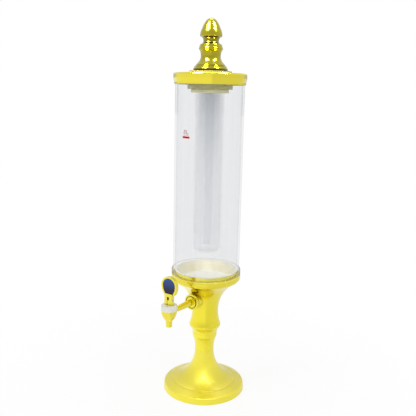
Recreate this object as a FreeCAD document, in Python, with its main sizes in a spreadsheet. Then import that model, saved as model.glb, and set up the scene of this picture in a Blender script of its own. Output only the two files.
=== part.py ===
"""Beer tower: a turned metal stand with a clear drink tube, an ice tube, a lid with a finial and a tap.

Millimetres. +Z is up, the tower's axis is the Z axis, the stand rests on z = 0 and the tap points along -Y.
Turned pieces are outlines of radius against height, drawn once round, anticlockwise.
"""
import FreeCAD, Part
import os
import re
import Sketcher

doc = FreeCAD.newDocument("beer_tower")
sizes = doc.addObject("Spreadsheet::Sheet", "sizes")

# Driving dimensions: what each is, its name and its value. Heights ending in _z are above the table.
SIZES = [
    ("non-slip pad thickness", "pad_thick", 2.0),
    ("base plate thickness", "plate_thick", 2.5),
    ("bottom radius of the base", "base_radius", 69.2),
    ("height of the base's lower edge", "skirt_z", 0.4),
    ("wall of the base skirt", "skirt_wall", 3.2),
    ("distance of the rim's top inside the base's edge", "rim_inset", 3.7),
    ("height of the rim", "rim_z", 10.9),
    ("inset of the rim's rounding", "rim_round_inset", 0.9),
    ("height of the rim's rounding", "rim_round_height", 3.4),
    ("radius of the rim's rounding", "rim_round", 3.2),
    ("wall of the rim", "rim_wall", 2.5),
    ("thickness of the rim's top", "rim_floor", 2.7),
    ("thickness of the base over the skirt's bore", "skirt_floor", 3.9),
    ("distance of the groove inside the rim", "groove_inset", 11.3),
    ("height of the groove above the rim", "groove_rise", 3.7),
    ("wall of the base under the groove", "groove_wall", 3.2),
    ("width of the groove's lip", "groove_lip", 1.2),
    ("height of the groove's lip", "groove_lip_rise", 0.8),
    ("radius of the groove", "groove_bend", 1.3),
    ("thickness of the base under the groove", "groove_floor", 2.0),
    ("distance of the cone's root inside the groove", "cone_inset", 1.0),
    ("height of the cone's root above the groove", "cone_rise", 1.4),
    ("distance of the cavity's knee inside the groove", "knee_inset", 19.2),
    ("height of the cavity's knee above the rim", "knee_rise", 8.1),
    ("radius of the base's neck", "neck_radius", 16.0),
    ("height of the neck's straight lip", "neck_lip", 2.0),
    ("distance of the ledge below the base's top", "ledge_drop", 36.0),
    ("distance of the ledge outside the neck", "ledge_lip", 3.6),
    ("top of the base", "base_top_z", 70.0),
    ("gap round the ballast", "ballast_gap", 1.0),
    ("gap round the base plate", "plate_gap", 0.5),
    ("overrun of a cutting tool", "overcut", 1.0),
    ("tie rod radius", "rod_radius", 4.0),
    ("clearance of a rod in its hole", "rod_gap", 0.5),
    ("clearance of a threaded pair", "thread_gap", 0.05),
    ("glue line of a bonded ring", "glue_gap", 0.05),
    ("depth of the tie rod's recess in the ballast", "rod_recess", 9.5),
    ("nut across the flats", "rod_nut_flats", 13.0),
    ("nut thickness", "rod_nut_thick", 6.5),
    ("length of the tie rod past its nut", "rod_tail", 0.6),
    ("distance of the tie rod's top below the plug's", "rod_top_gap", 0.5),
    ("washer thickness", "rod_washer_thick", 1.6),
    ("washer radius", "rod_washer_radius", 9.5),
    ("plate screw shank radius", "screw_radius", 2.0),
    ("plate screw head radius", "screw_head_radius", 3.9),
    ("plate screw length", "screw_length", 9.0),
    ("spare depth past a plate screw", "screw_tip", 2.5),
    ("distance of the plate screws inside the groove", "screw_inset", 5.2),
    ("flare of the mid stem up to its band", "band_flare", 4.6),
    ("height of the band", "band_height", 5.5),
    ("height of the mid stem", "mid_height", 30.0),
    ("wall of the stem at its neck", "stem_wall", 5.0),
    ("step from the band to the stem ring", "ring_step", 0.3),
    ("flare of the stem ring", "ring_flare", 5.6),
    ("height of the stem ring", "ring_height", 15.0),
    ("inset of the stem ring's edge", "ring_edge_inset", 1.4),
    ("height of the stem ring's edge", "ring_edge_height", 4.0),
    ("radius of the stem ring's edge", "ring_edge_bend", 6.0),
    ("distance of the waist inside the stem ring", "waist_inset", 4.4),
    ("height of the funnel's foot", "foot_height", 24.0),
    ("inset of the funnel's foot", "foot_inset", 0.5),
    ("height of the funnel's foot edge", "foot_edge", 1.8),
    ("height of the straight waist", "waist_height", 1.0),
    ("height of the flare", "flare_height", 54.0),
    ("distance of the shoulder inside the tube", "shoulder_inset", 0.4),
    ("height of the shoulder", "shoulder_height", 1.6),
    ("wall of the funnel", "funnel_wall", 3.8),
    ("distance of the funnel's hollow inside the shoulder", "hollow_inset", 17.6),
    ("width of the hollow's shoulder", "hollow_step", 2.4),
    ("height of the hollow's shoulder", "hollow_drop", 4.2),
    ("height of the funnel's bore above the waist", "bore_rise", 2.5),
    ("stem plug thickness", "plug_thick", 8.0),
    ("tube outer radius", "tube_radius", 55.0),
    ("tube wall", "tube_wall", 3.0),
    ("tube length", "tube_length", 319.5),
    ("clearance of the spigot in the tube", "spigot_gap", 0.3),
    ("wall of the spigot", "spigot_wall", 1.5),
    ("height of the tube's seat above the shoulder", "seat_rise", 7.9),
    ("lap of the tube on its seat", "seat_lap", 1.2),
    ("gap round the tube in its seat", "seat_gap", 0.1),
    ("height of the spigot above the seat", "spigot_height", 7.5),
    ("thickness of the tube's seals", "seal_thick", 1.0),
    ("depth of the cup in the funnel", "cup_depth", 16.8),
    ("distance of the cup's floor inside the tube", "cup_inset", 15.2),
    ("thickness of the cup's floor", "cup_thick", 4.0),
    ("wall of the bowl liner", "liner_wall", 1.2),
    ("gap between the liner and the cup", "liner_gap", 0.3),
    ("length of the liner's drain spigot", "drain_length", 6.0),
    ("drain bore radius", "drain_bore", 3.1),
    ("wall of the drain spigot", "drain_wall", 0.8),
    ("clearance of the drain spigot", "drain_gap", 0.1),
    ("collar's stand-out from the tube", "collar_wall", 2.7),
    ("stand-out of the collar's lower edge", "collar_low", 0.6),
    ("radius of the collar's lower bead", "collar_low_bend", 3.6),
    ("height of the collar's lower bead", "collar_low_height", 2.8),
    ("distance of the collar's bulge below the seat", "collar_bulge_drop", 2.4),
    ("radius of the collar's upper edge", "collar_bend", 9.0),
    ("inset of the collar's upper edge", "collar_inset", 0.8),
    ("foot ring's stand-out from the tube", "foot_ring_wall", 2.3),
    ("foot ring height", "foot_ring_height", 8.5),
    ("rounding of a small ring's edge", "edge_round", 1.0),
    ("height of the tap's shank above the waist", "tap_rise", 23.6),
    ("radius of the tap boss", "boss_radius", 12.0),
    ("distance of the boss face outside the waist", "boss_height", 13.3),
    ("distance of the boss pad inside the waist", "boss_depth", 6.1),
    ("distance of the spout from the boss face", "spout_arm", 62.0),
    ("tap washer thickness", "tap_washer_thick", 1.5),
    ("stand-out of the tap washer from the boss", "tap_washer_lip", 0.6),
    ("gap between the tap washer and the flare", "washer_gap", 0.3),
    ("stand-out of the tap flange from the boss", "flange_lip", 1.2),
    ("tap flange thickness", "flange_thick", 3.5),
    ("rounding of the flange", "flange_round", 0.8),
    ("distance of the flange's groove inside its edge", "flange_groove_inset", 2.6),
    ("depth of the flange's groove", "flange_groove_depth", 1.6),
    ("distance of the flange's hub inside its edge", "hub_inset", 4.0),
    ("stand-out of the hub's edge", "hub_rise", 0.2),
    ("rounding of the hub", "hub_round", 0.6),
    ("shank radius", "shank_radius", 5.0),
    ("gap at the end of a seated tube", "end_gap", 0.3),
    ("tap nut across the flats", "tap_nut_flats", 14.0),
    ("tap nut thickness", "tap_nut_thick", 5.5),
    ("stand-out of the arm from the shank", "arm_step", 0.6),
    ("taper of the arm", "arm_taper", 1.3),
    ("gap between the arm's end and the valve's chamber", "arm_end_gap", 0.9),
    ("distance of the bore's end from the spout", "bore_end", 4.0),
    ("wall of the shank", "shank_wall", 2.0),
    ("elbow wall", "elbow_wall", 1.8),
    ("gap round the elbow in the cup's floor", "elbow_gap", 0.2),
    ("stand-out of the elbow's flange", "elbow_flange", 2.4),
    ("thickness of the elbow's flange", "elbow_flange_thick", 3.0),
    ("drop from the shank to the nozzle tip", "nozzle_drop", 23.0),
    ("wall of the nozzle", "nozzle_wall", 1.6),
    ("flare of the nozzle up to the bell", "nozzle_flare", 0.5),
    ("drop from the shank to the bell's foot", "bell_drop", 13.2),
    ("radius of the tap's body", "bell_radius", 12.3),
    ("wall of the tap's body", "bell_wall", 3.7),
    ("height of the bell's straight top", "bell_top_height", 3.1),
    ("height of the valve's seat above the bell's foot", "valve_seat_low", 2.1),
    ("flare of the valve's seat", "valve_seat_flare", 1.9),
    ("height of the seat's upper edge above the bell's foot", "valve_seat_top", 4.0),
    ("height of the chamber's shoulder above the bell's foot", "chamber_low", 7.6),
    ("width of the chamber's shoulder", "chamber_step", 2.1),
    ("height of the straight chamber above the bell's foot", "chamber_rise", 11.6),
    ("rise of the tap's body above the arm", "body_rise", 0.2),
    ("stand-out of the bonnet ring", "bonnet_step", 0.4),
    ("bonnet ring height", "bonnet_height", 8.3),
    ("bonnet web thickness", "bonnet_web", 2.8),
    ("height of the bonnet's neck", "bonnet_neck_height", 3.9),
    ("wall of the bonnet's neck", "bonnet_neck_wall", 1.8),
    ("gap round the bonnet's neck", "bonnet_neck_gap", 0.1),
    ("gap above the bonnet's neck", "bonnet_neck_top_gap", 0.2),
    ("valve stem radius", "stem_radius", 1.7),
    ("running clearance of the valve stem", "stem_gap", 0.3),
    ("height of the stem's foot above the bell's foot", "stem_foot", 4.6),
    ("height of the stem's shoulder above the bonnet", "stem_shoulder", 1.2),
    ("height of the tongue's root above the bonnet", "tongue_root", 0.8),
    ("height of the tongue's top above the pivot", "tongue_top", 3.0),
    ("depth of the stem's tongue", "tongue_depth", 5.0),
    ("gap of the closed valve", "valve_gap", 0.2),
    ("flare of the seat cup", "seat_cup_flare", 1.8),
    ("height of the seat cup's foot above the bell's foot", "seat_cup_low", 2.2),
    ("height of the seat cup's top above the bell's foot", "seat_cup_top", 6.6),
    ("drop from the shank to the spring's collar", "spring_drop", 3.4),
    ("stand-out of the spring's collar", "spring_collar_lip", 1.6),
    ("thickness of the spring's collar", "spring_collar_thick", 1.5),
    ("spring wire radius", "wire_radius", 0.45),
    ("spring mean radius", "spring_radius", 4.2),
    ("height of the handle's pivot above the bonnet", "pivot_rise", 8.9),
    ("pivot pin radius", "pin_radius", 1.25),
    ("pivot running clearance", "pin_gap", 0.05),
    ("distance of the pin's ends inside the fork", "pin_inset", 0.2),
    ("fork width", "fork_width", 14.0),
    ("fork depth", "fork_depth", 6.5),
    ("fork slot width", "slot_width", 4.0),
    ("height of the fork slot's top above the pivot", "slot_top", 4.6),
    ("lap of the fork on the paddle", "fork_lap", 1.0),
    ("gap between the fork's heel and the bonnet", "heel_gap", 0.4),
    ("side gap of the stem's tongue in the fork", "tongue_gap", 0.25),
    ("half width of the paddle", "paddle_half", 14.7),
    ("taper of the paddle down to its foot", "paddle_taper", 4.7),
    ("height of the paddle's foot above the pivot", "paddle_rise", 7.9),
    ("height of the paddle's centre above its foot", "paddle_neck", 14.0),
    ("thickness of the paddle", "paddle_thick", 5.2),
    ("distance of the paddle behind the fork's front", "paddle_set", 2.0),
    ("height of the fork's sloping shoulder", "fork_shoulder", 1.8),
    ("rim width of the paddle", "paddle_rim", 2.8),
    ("inlay thickness", "inlay_thick", 1.2),
    ("gap round the inlay", "inlay_gap", 0.1),
    ("gap under the inlay", "inlay_bed", 0.2),
    ("depth of the lid's skirt below the tube's rim", "lid_skirt", 10.9),
    ("height of the lid above the tube's rim", "lid_crown", 6.5),
    ("wall of the lid's skirt", "lid_wall", 1.0),
    ("flare of the lid", "lid_flare", 1.5),
    ("flare of the lid's lower edge", "lid_edge_flare", 0.1),
    ("height of the lid's lower edge", "lid_edge_height", 3.0),
    ("distance of the lid's straight wall below its top", "lid_crown_drop", 8.0),
    ("rounding of the lid's top", "lid_round", 2.8),
    ("clearance of the lid round the tube", "lid_gap", 0.4),
    ("lid gasket thickness", "gasket_thick", 1.2),
    ("lap of the gasket inside the tube", "gasket_inner_lap", 0.5),
    ("lap of the gasket outside the tube", "gasket_outer_lap", 0.2),
    ("stand-out of the lid plug from the ice tube's collar", "plug_flange", 5.7),
    ("height of the lid plug", "plug_height", 19.3),
    ("web of the lid plug", "lid_plug_web", 5.0),
    ("ice tube radius", "ice_radius", 23.0),
    ("ice tube wall", "ice_wall", 2.0),
    ("height of the ice tube's bottom above the bowl's rim", "ice_clear", 32.5),
    ("ice tube bottom corner radius", "ice_corner", 10.0),
    ("stand-out of the ice tube's thread", "ice_lip", 2.9),
    ("running clearance of the ice tube's thread", "ice_thread_gap", 0.1),
    ("engaged length of the ice tube's thread", "ice_thread_length", 11.6),
    ("stand-out of the ice tube's collar", "ice_collar_wall", 7.0),
    ("ice tube collar height", "ice_collar_height", 4.8),
    ("rounding of the ice tube's collar", "ice_collar_round", 1.2),
    ("ice tube gasket thickness", "ice_gasket_thick", 1.0),
    ("gap round the ice tube in its gasket", "ice_gasket_gap", 0.35),
    ("distance of the gasket's edge inside the collar's", "ice_gasket_inset", 0.6),
    ("finial washer radius", "finial_washer_radius", 33.6),
    ("finial washer thickness", "finial_washer_thick", 3.6),
    ("finial stud radius", "stud_radius", 3.0),
    ("clearance of the finial stud in the lid", "stud_gap", 0.2),
    ("stud nut across the flats", "stud_nut_flats", 10.0),
    ("stud nut thickness", "stud_nut_thick", 5.0),
    ("length of the stud past its nut", "stud_tail", 1.0),
    ("height of the stud's top above the acorn's widest line", "stud_rise", 9.5),
    ("gap above the stud", "stud_top_gap", 0.5),
    ("finial foot radius", "foot_radius", 27.0),
    ("inset of the finial foot's lower edge", "foot_low_inset", 0.5),
    ("radius of the finial foot's bead", "foot_bend", 4.0),
    ("inset of the bead's top", "foot_bead_inset", 1.3),
    ("height of the bead's top", "foot_bead_height", 5.0),
    ("inset of the step over the bead", "foot_step_inset", 2.0),
    ("height of the step over the bead", "foot_step_height", 7.0),
    ("inset of the groove over the step", "foot_groove_inset", 3.7),
    ("height of the groove over the step", "foot_groove_height", 7.6),
    ("inset of the finial's skirt", "vase_skirt_inset", 4.0),
    ("height of the finial's skirt", "vase_skirt_height", 9.0),
    ("inset of the vase's root", "vase_root_inset", 7.9),
    ("height of the vase's root", "vase_root_height", 13.5),
    ("distance of the finial's waist inside its foot", "finial_waist_inset", 11.5),
    ("height of the finial's waist above its foot", "finial_waist_rise", 22.7),
    ("stand-out of the finial's ring from its waist", "finial_ring_lip", 3.3),
    ("height of the finial's ring above its waist", "finial_ring_rise", 10.8),
    ("inset of the ring's edges", "finial_ring_inset", 0.5),
    ("distance of the ring's lower edge below its middle", "finial_ring_low", 1.6),
    ("radius of the ring's edge", "finial_ring_bend", 3.0),
    ("distance of the ring's upper edge above its middle", "finial_ring_high", 1.8),
    ("height of the vase above its ring", "vase_rise", 6.9),
    ("inset of the vase's upper bead", "vase_bead_inset", 1.5),
    ("height of the vase's upper bead", "vase_bead_height", 1.5),
    ("radius of the vase's upper bead", "vase_bead_bend", 1.8),
    ("inset of the vase's top", "vase_top_inset", 2.8),
    ("distance of the acorn's neck inside the ring", "acorn_neck_inset", 6.8),
    ("height of the acorn's neck", "acorn_neck_rise", 5.1),
    ("stand-out of the acorn from its neck", "acorn_bulge", 5.3),
    ("height of the acorn's widest line above the vase", "acorn_rise", 13.1),
    ("inset of the acorn's lower edge", "acorn_edge_inset", 0.45),
    ("height of the acorn's lower edge", "acorn_edge_height", 2.0),
    ("radius of the acorn's lower edge", "acorn_edge_bend", 5.0),
    ("inset of the acorn's cheek", "acorn_cheek_inset", 2.75),
    ("height of the acorn's cheek", "acorn_cheek_rise", 10.2),
    ("radius of the acorn over its cheek", "acorn_cheek_bend", 40.0),
    ("height of the tip above the acorn's widest line", "tip_rise", 26.3),
    ("inset of the tip's root from the acorn's cheek", "tip_inset", 5.1),
    ("height of the tip", "tip_height", 6.1),
    ("radius of the tip's side", "tip_bend", 14.0),
    ("radius of the tip's end", "tip_end", 0.8),
]
# Heights and radii that follow from the driving dimensions.
FOLLOWING = {
    "rim_radius": "base_radius - rim_inset",
    "groove_radius": "rim_radius - groove_inset",
    "groove_z": "rim_z + groove_rise",
    "knee_radius": "groove_radius - knee_inset",
    "knee_z": "rim_z + knee_rise",
    "neck_z": "base_top_z - neck_lip",
    "screw_ring_radius": "groove_radius - screw_inset",
    "stem_bore": "neck_radius - stem_wall",
    "mid_top_z": "base_top_z + mid_height",
    "band_radius": "neck_radius + band_flare",
    "band_z": "mid_top_z - band_height",
    "ring_low_radius": "band_radius + ring_step",
    "ring_radius": "ring_low_radius + ring_flare",
    "ring_top_z": "mid_top_z + ring_height",
    "waist_radius": "ring_radius - waist_inset",
    "waist_low_z": "ring_top_z + foot_height",
    "waist_top_z": "waist_low_z + waist_height",
    "flare_top_z": "waist_top_z + flare_height",
    "shoulder_radius": "tube_radius - shoulder_inset",
    "shoulder_z": "flare_top_z + shoulder_height",
    "seat_z": "shoulder_z + seat_rise",
    "spigot_top_z": "seat_z + spigot_height",
    "cup_floor_z": "spigot_top_z - cup_depth",
    "cup_floor_radius": "tube_radius - cup_inset",
    "ceiling_z": "cup_floor_z - cup_thick",
    "tube_top_z": "seat_z + seal_thick + tube_length",
    "collar_radius": "tube_radius + collar_wall",
    "collar_low_radius": "tube_radius + collar_low",
    "foot_ring_radius": "tube_radius + foot_ring_wall",
    "tap_z": "waist_top_z + tap_rise",
    "flare_bend": "((shoulder_radius - waist_radius)^2 + flare_height^2) / (2 * (shoulder_radius - waist_radius))",
    "flare_at_tap": "waist_radius + flare_bend - (flare_bend^2 - (tap_rise + boss_radius + tap_washer_lip)^2)^0.5",
    "boss_reach": "max(waist_radius + boss_height; flare_at_tap + washer_gap)",
    "boss_inner_reach": "waist_radius - boss_depth",
    "spout_reach": "boss_reach + spout_arm",
    "flange_radius": "boss_radius + flange_lip",
    "arm_root_radius": "shank_radius + arm_step",
    "arm_tip_radius": "arm_root_radius - arm_taper",
    "arm_bore": "shank_radius - shank_wall",
    "nozzle_z": "tap_z - nozzle_drop",
    "nozzle_radius": "drain_bore + nozzle_wall",
    "bell_z": "tap_z - bell_drop",
    "body_top_z": "tap_z + arm_tip_radius + body_rise",
    "chamber_radius": "bell_radius - bell_wall",
    "bonnet_radius": "bell_radius + bonnet_step",
    "spring_seat_z": "tap_z - spring_drop",
    "pivot_z": "body_top_z + bonnet_height + pivot_rise",
    "paddle_foot_half": "paddle_half - paddle_taper",
    "paddle_foot_z": "pivot_z + paddle_rise",
    "paddle_z": "paddle_foot_z + paddle_neck",
    "lid_z": "tube_top_z - lid_skirt",
    "lid_low_radius": "tube_radius + lid_gap + lid_wall",
    "lid_radius": "lid_low_radius + lid_flare",
    "lid_top_z": "tube_top_z + lid_crown",
    "lid_plug_z": "tube_top_z + gasket_thick - plug_height",
    "lid_plug_radius": "ice_collar_radius + plug_flange",
    "ice_z": "spigot_top_z + ice_clear",
    "ice_thread_radius": "ice_radius + ice_lip",
    "ice_collar_radius": "ice_radius + ice_collar_wall",
    "finial_z": "lid_top_z + finial_washer_thick",
    "finial_waist": "foot_radius - finial_waist_inset",
    "finial_waist_z": "finial_z + finial_waist_rise",
    "finial_ring": "finial_waist + finial_ring_lip",
    "finial_ring_z": "finial_waist_z + finial_ring_rise",
    "vase_top_z": "finial_ring_z + vase_rise",
    "acorn_neck": "finial_ring - acorn_neck_inset",
    "acorn_neck_z": "vase_top_z + acorn_neck_rise",
    "acorn_radius": "acorn_neck + acorn_bulge",
    "acorn_z": "vase_top_z + acorn_rise",
    "tip_z": "acorn_z + tip_rise",
}
SCREWS = 4
SPRING_TURNS = 5

for row, (what, alias, number) in enumerate(SIZES, start=1):
    sizes.set("A%d" % row, what)
    sizes.set("B%d" % row, str(number))
    sizes.setAlias("B%d" % row, alias)
doc.recompute()


def spelled_out(expression):
    """The expression in driving dimensions only."""
    before = ""
    while before != expression:
        before = expression
        for name, meaning in FOLLOWING.items():
            expression = re.sub(r"\b%s\b" % name, "(" + meaning + ")", expression)
    return expression


def size(expression):
    """The number that an expression of named sizes has."""
    return float(sizes.evalExpression(spelled_out(expression)))


def bound(expression):
    """The same expression as another object writes it, with each name looked up in the sheet."""
    return re.sub(r"\b([a-z][a-z0-9_]*)\b(?!\()", r"sizes.\1", spelled_out(expression))


def tangent_radius(across, along):
    """Radius of an arc that starts along the second direction and ends that far across and along."""
    return "(((%s)^2 + (%s)^2) / (2 * (%s)))" % (across, along, across)


# ---------------------------------------------------------------- sketches and features

def add_sketch(body, name, plane):
    sketch = body.newObject("Sketcher::SketchObject", name)
    for feature in body.Origin.OriginFeatures:
        if feature.Role == plane:
            sketch.AttachmentSupport = [(feature, "")]
    sketch.MapMode = "FlatFace"
    return sketch


def arc_between(start, end, radius, side):
    """An arc between two points that stands out to the right of the way (side 1) or to the left (side -1)."""
    middle = (start + end) * 0.5
    half = (end - start) * 0.5
    rise = radius - (radius ** 2 - half.Length ** 2) ** 0.5
    right = FreeCAD.Vector(half.y, -half.x, 0).normalize()
    return Part.Arc(start, middle + right * (rise * side), end)


def hold_point(sketch, edge, end, x_expression, y_expression):
    """Hold a point at its named place from the sketch's origin."""
    for kind, axis, expression in (("DistanceX", -2, x_expression), ("DistanceY", -1, y_expression)):
        number = size(expression)
        if abs(number) < 1e-9:
            sketch.addConstraint(Sketcher.Constraint("PointOnObject", edge, end, axis))
        elif number > 0:
            held = sketch.addConstraint(Sketcher.Constraint(kind, -1, 1, edge, end, number))
            sketch.setExpression("Constraints[%d]" % held, bound(expression))
        else:
            held = sketch.addConstraint(Sketcher.Constraint(kind, edge, end, -1, 1, -number))
            sketch.setExpression("Constraints[%d]" % held, "-(" + bound(expression) + ")")


def draw_outline(sketch, outline):
    """A closed loop. A corner is (x, y), with "bulge" or "hollow" and a radius where an arc starts there."""
    points = [FreeCAD.Vector(size(corner[0]), size(corner[1]), 0) for corner in outline]
    ends = []
    for index, corner in enumerate(outline):
        start = points[index]
        end = points[(index + 1) % len(points)]
        if len(corner) == 2:
            edge = sketch.addGeometry(Part.LineSegment(start, end), False)
        else:
            side = 1 if corner[2] == "bulge" else -1
            edge = sketch.addGeometry(arc_between(start, end, size(corner[3]), side), False)
        first = 1 if (sketch.getPoint(edge, 1) - start).Length < 1e-6 else 2
        ends.append((edge, first, 3 - first))
    for index, corner in enumerate(outline):
        edge, first, last = ends[index]
        following = ends[(index + 1) % len(ends)]
        sketch.addConstraint(Sketcher.Constraint("Coincident", edge, last, following[0], following[1]))
        hold_point(sketch, edge, first, corner[0], corner[1])
        if len(corner) == 4:
            held = sketch.addConstraint(Sketcher.Constraint("Radius", edge, size(corner[3])))
            sketch.setExpression("Constraints[%d]" % held, bound(corner[3]))


def turned(label, outline):
    """A body turned round its own Z axis from an outline of radius against height."""
    body = doc.addObject("PartDesign::Body", label)
    sketch = add_sketch(body, label + "_outline", "XZ_Plane")
    draw_outline(sketch, outline)
    turn = body.newObject("PartDesign::Revolution", label + "_turn")
    turn.Profile = sketch
    turn.ReferenceAxis = (sketch, ["V_Axis"])
    turn.Angle = 360
    return body


def ring(label, inner, outer, low, high):
    return turned(label, [(inner, low), (outer, low), (outer, high), (inner, high)])


def padded(label, outline, front, depth):
    """A body with its outline in the XZ plane that reaches from front, along +Y, by depth."""
    body = doc.addObject("PartDesign::Body", label)
    sketch = add_sketch(body, label + "_outline", "XZ_Plane")
    draw_outline(sketch, outline)
    pad = body.newObject("PartDesign::Pad", label + "_pad")
    pad.Profile = sketch
    pad.Reversed = True
    pad.setExpression("Length", bound(depth))
    body.setExpression("Placement.Base.y", bound(front))
    return body


def bind(thing, **expressions):
    """Bind properties of an object to expressions; the place words x, y and z move it."""
    for name, expression in expressions.items():
        path = "Placement.Base." + name if name in ("x", "y", "z") else name
        thing.setExpression(path, bound(expression))
    return thing


def rod(label, radius, start, end, along="z"):
    """A cylinder between two heights, or between two distances along -Y at the height of the tap."""
    cylinder = doc.addObject("Part::Cylinder", label)
    bind(cylinder, Radius=radius, Height="(%s) - (%s)" % (end, start))
    if along == "z":
        bind(cylinder, z=start)
    else:
        cylinder.Placement = FreeCAD.Placement(FreeCAD.Vector(), FreeCAD.Rotation(FreeCAD.Vector(1, 0, 0), 90))
        bind(cylinder, y="-(%s)" % start, z="tap_z")
    return cylinder


def box(label, length, width, height, x, y, z):
    solid = doc.addObject("Part::Box", label)
    return bind(solid, Length=length, Width=width, Height=height, x=x, y=y, z=z)


def joined(label, *pieces):
    union = doc.addObject("Part::MultiFuse", label)
    union.Shapes = list(pieces)
    return union


def cut(label, base, *tools):
    difference = doc.addObject("Part::Cut", label)
    difference.Base = base
    difference.Tool = tools[0] if len(tools) == 1 else joined(label + "_tools", *tools)
    return difference


def lay_along_tap(body):
    """Turn a body's own Z axis to -Y, at the height of the tap."""
    body.Placement = FreeCAD.Placement(FreeCAD.Vector(), FreeCAD.Rotation(FreeCAD.Vector(1, 0, 0), 90))
    return bind(body, z="tap_z")


def hexagon(label, flats, height):
    prism = doc.addObject("Part::Prism", label)
    prism.Polygon = 6
    return bind(prism, Circumradius="(%s) / 3^0.5" % flats, Height=height)


nodes = []


def node(label, thing):
    """Name a finished sub-part."""
    thing.Label = label
    nodes.append(thing)


# ---------------------------------------------------------------- base

PLATE_TOP = "pad_thick + plate_thick"
WASHER_TOP = PLATE_TOP + " + rod_recess"
SKIRT_BORE = "base_radius - skirt_wall"
PLATE_RADIUS = "base_radius - skirt_wall - plate_gap"
ROD_HOLE = "rod_radius + rod_gap"
LEDGE_Z = "base_top_z - ledge_drop"
LEDGE_RADIUS = "neck_radius + ledge_lip"
CONE_ROOT = "groove_radius - cone_inset"
CONE_ROOT_Z = "groove_z + cone_rise"


def make_base_shell():
    cone = tangent_radius(CONE_ROOT + " - neck_radius", "neck_z - (" + CONE_ROOT_Z + ")")
    return turned("base_shell", [
        (SKIRT_BORE, "skirt_z"),
        ("base_radius", "skirt_z"),
        ("base_radius - rim_round_inset", "rim_z - rim_round_height", "bulge", "rim_round"),
        ("rim_radius", "rim_z"),
        ("groove_radius + groove_lip", "groove_z + groove_lip_rise", "hollow", "groove_bend"),
        (CONE_ROOT, CONE_ROOT_Z, "hollow", cone),
        ("neck_radius", "neck_z"),
        ("neck_radius", "base_top_z"),
        (ROD_HOLE, "base_top_z"),
        (ROD_HOLE, LEDGE_Z),
        (LEDGE_RADIUS, LEDGE_Z),
        ("knee_radius", "knee_z"),
        ("groove_radius - groove_wall", "groove_z - groove_floor"),
        ("rim_radius - rim_wall", "rim_z - rim_floor"),
        (SKIRT_BORE, "rim_z - skirt_floor"),
    ])


def make_ballast():
    blank = turned("ballast_casting", [
        ("rod_washer_radius + ballast_gap", PLATE_TOP),
        ("rim_radius - rim_wall - 3 * ballast_gap", PLATE_TOP),
        ("rim_radius - rim_wall - 3 * ballast_gap", "rim_z - rim_floor - ballast_gap / 4"),
        ("groove_radius - groove_wall - 0.4 * ballast_gap", "groove_z - groove_floor - 1.2 * ballast_gap"),
        ("knee_radius - ballast_gap / 2", "knee_z - 1.2 * ballast_gap"),
        (LEDGE_RADIUS + " - ballast_gap", LEDGE_Z + " - ballast_gap"),
        (LEDGE_RADIUS + " - ballast_gap", LEDGE_Z),
        (ROD_HOLE, LEDGE_Z),
        (ROD_HOLE, WASHER_TOP),
        ("rod_washer_radius + ballast_gap", WASHER_TOP),
    ])
    holes = [
        placed_round("ballast_hole_%d" % turn, "screw_radius + thread_gap", "pad_thick",
                     "pad_thick + screw_length + screw_tip", turn)
        for turn in range(SCREWS)
    ]
    return cut("base_ballast", blank, *holes)


def placed_round(label, radius, low, high, turn):
    """A vertical cylinder on the ring of plate screws, a given number of places round from +X plus half a place."""
    cylinder = rod(label, radius, low, high)
    angle = 360 * (turn + 0.5) / SCREWS
    bind(cylinder, x="screw_ring_radius * cos(%s)" % angle, y="screw_ring_radius * sin(%s)" % angle)
    return cylinder


def make_base_plate():
    blank = turned("plate_blank", [
        ("0", "pad_thick"), (PLATE_RADIUS, "pad_thick"), (PLATE_RADIUS, PLATE_TOP), ("0", PLATE_TOP),
    ])
    tools = []
    for turn in range(SCREWS):
        tools.append(placed_cone("plate_sink_%d" % turn, "thread_gap", turn))
        tools.append(placed_round("plate_hole_%d" % turn, "screw_radius + thread_gap", "pad_thick", PLATE_TOP, turn))
    return cut("base_plate", blank, *tools)


def placed_cone(label, gap, turn):
    """The cone of a countersunk head, wide side down in the plate's lower face."""
    cone = doc.addObject("Part::Cone", label)
    angle = 360 * (turn + 0.5) / SCREWS
    bind(cone, Radius1="screw_head_radius + " + gap, Radius2="screw_radius + " + gap,
         Height="screw_head_radius - screw_radius", z="pad_thick",
         x="screw_ring_radius * cos(%s)" % angle, y="screw_ring_radius * sin(%s)" % angle)
    return cone


def make_plate_screws():
    group = doc.addObject("Part::Compound", "base_plate_screws")
    screws = []
    for turn in range(SCREWS):
        head = placed_cone("screw_head_%d" % turn, "0 * thread_gap", turn)
        shank = placed_round("screw_shank_%d" % turn, "screw_radius", "pad_thick", "pad_thick + screw_length", turn)
        screws.append(joined("plate_screw_%d" % turn, head, shank))
    group.Links = screws
    return group


node("non_slip_pad", turned("non_slip_pad", [
    ("0", "0 * pad_thick"), (PLATE_RADIUS, "0 * pad_thick"), (PLATE_RADIUS, "pad_thick"), ("0", "pad_thick"),
]))
node("base_plate", make_base_plate())
node("base_plate_screws", make_plate_screws())
node("base_ballast", make_ballast())
node("base_shell", make_base_shell())

# ---------------------------------------------------------------- tie rod and stem

NUT_TOP = WASHER_TOP + " - rod_washer_thick"
PLUG_TOP = "ring_top_z + plug_thick"
FUNNEL_BORE = "waist_radius - funnel_wall"

node("tie_rod", rod("tie_rod", "rod_radius", NUT_TOP + " - rod_nut_thick - rod_tail", PLUG_TOP + " - rod_top_gap"))
node("tie_rod_washer", ring("tie_rod_washer", "rod_radius + thread_gap", "rod_washer_radius", NUT_TOP, WASHER_TOP))


def make_rod_nut():
    blank = bind(hexagon("rod_nut_blank", "rod_nut_flats", "rod_nut_thick"), z=NUT_TOP + " - rod_nut_thick")
    hole = rod("rod_nut_hole", "rod_radius + thread_gap", NUT_TOP + " - rod_nut_thick", NUT_TOP)
    return cut("tie_rod_nut", blank, hole)


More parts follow.
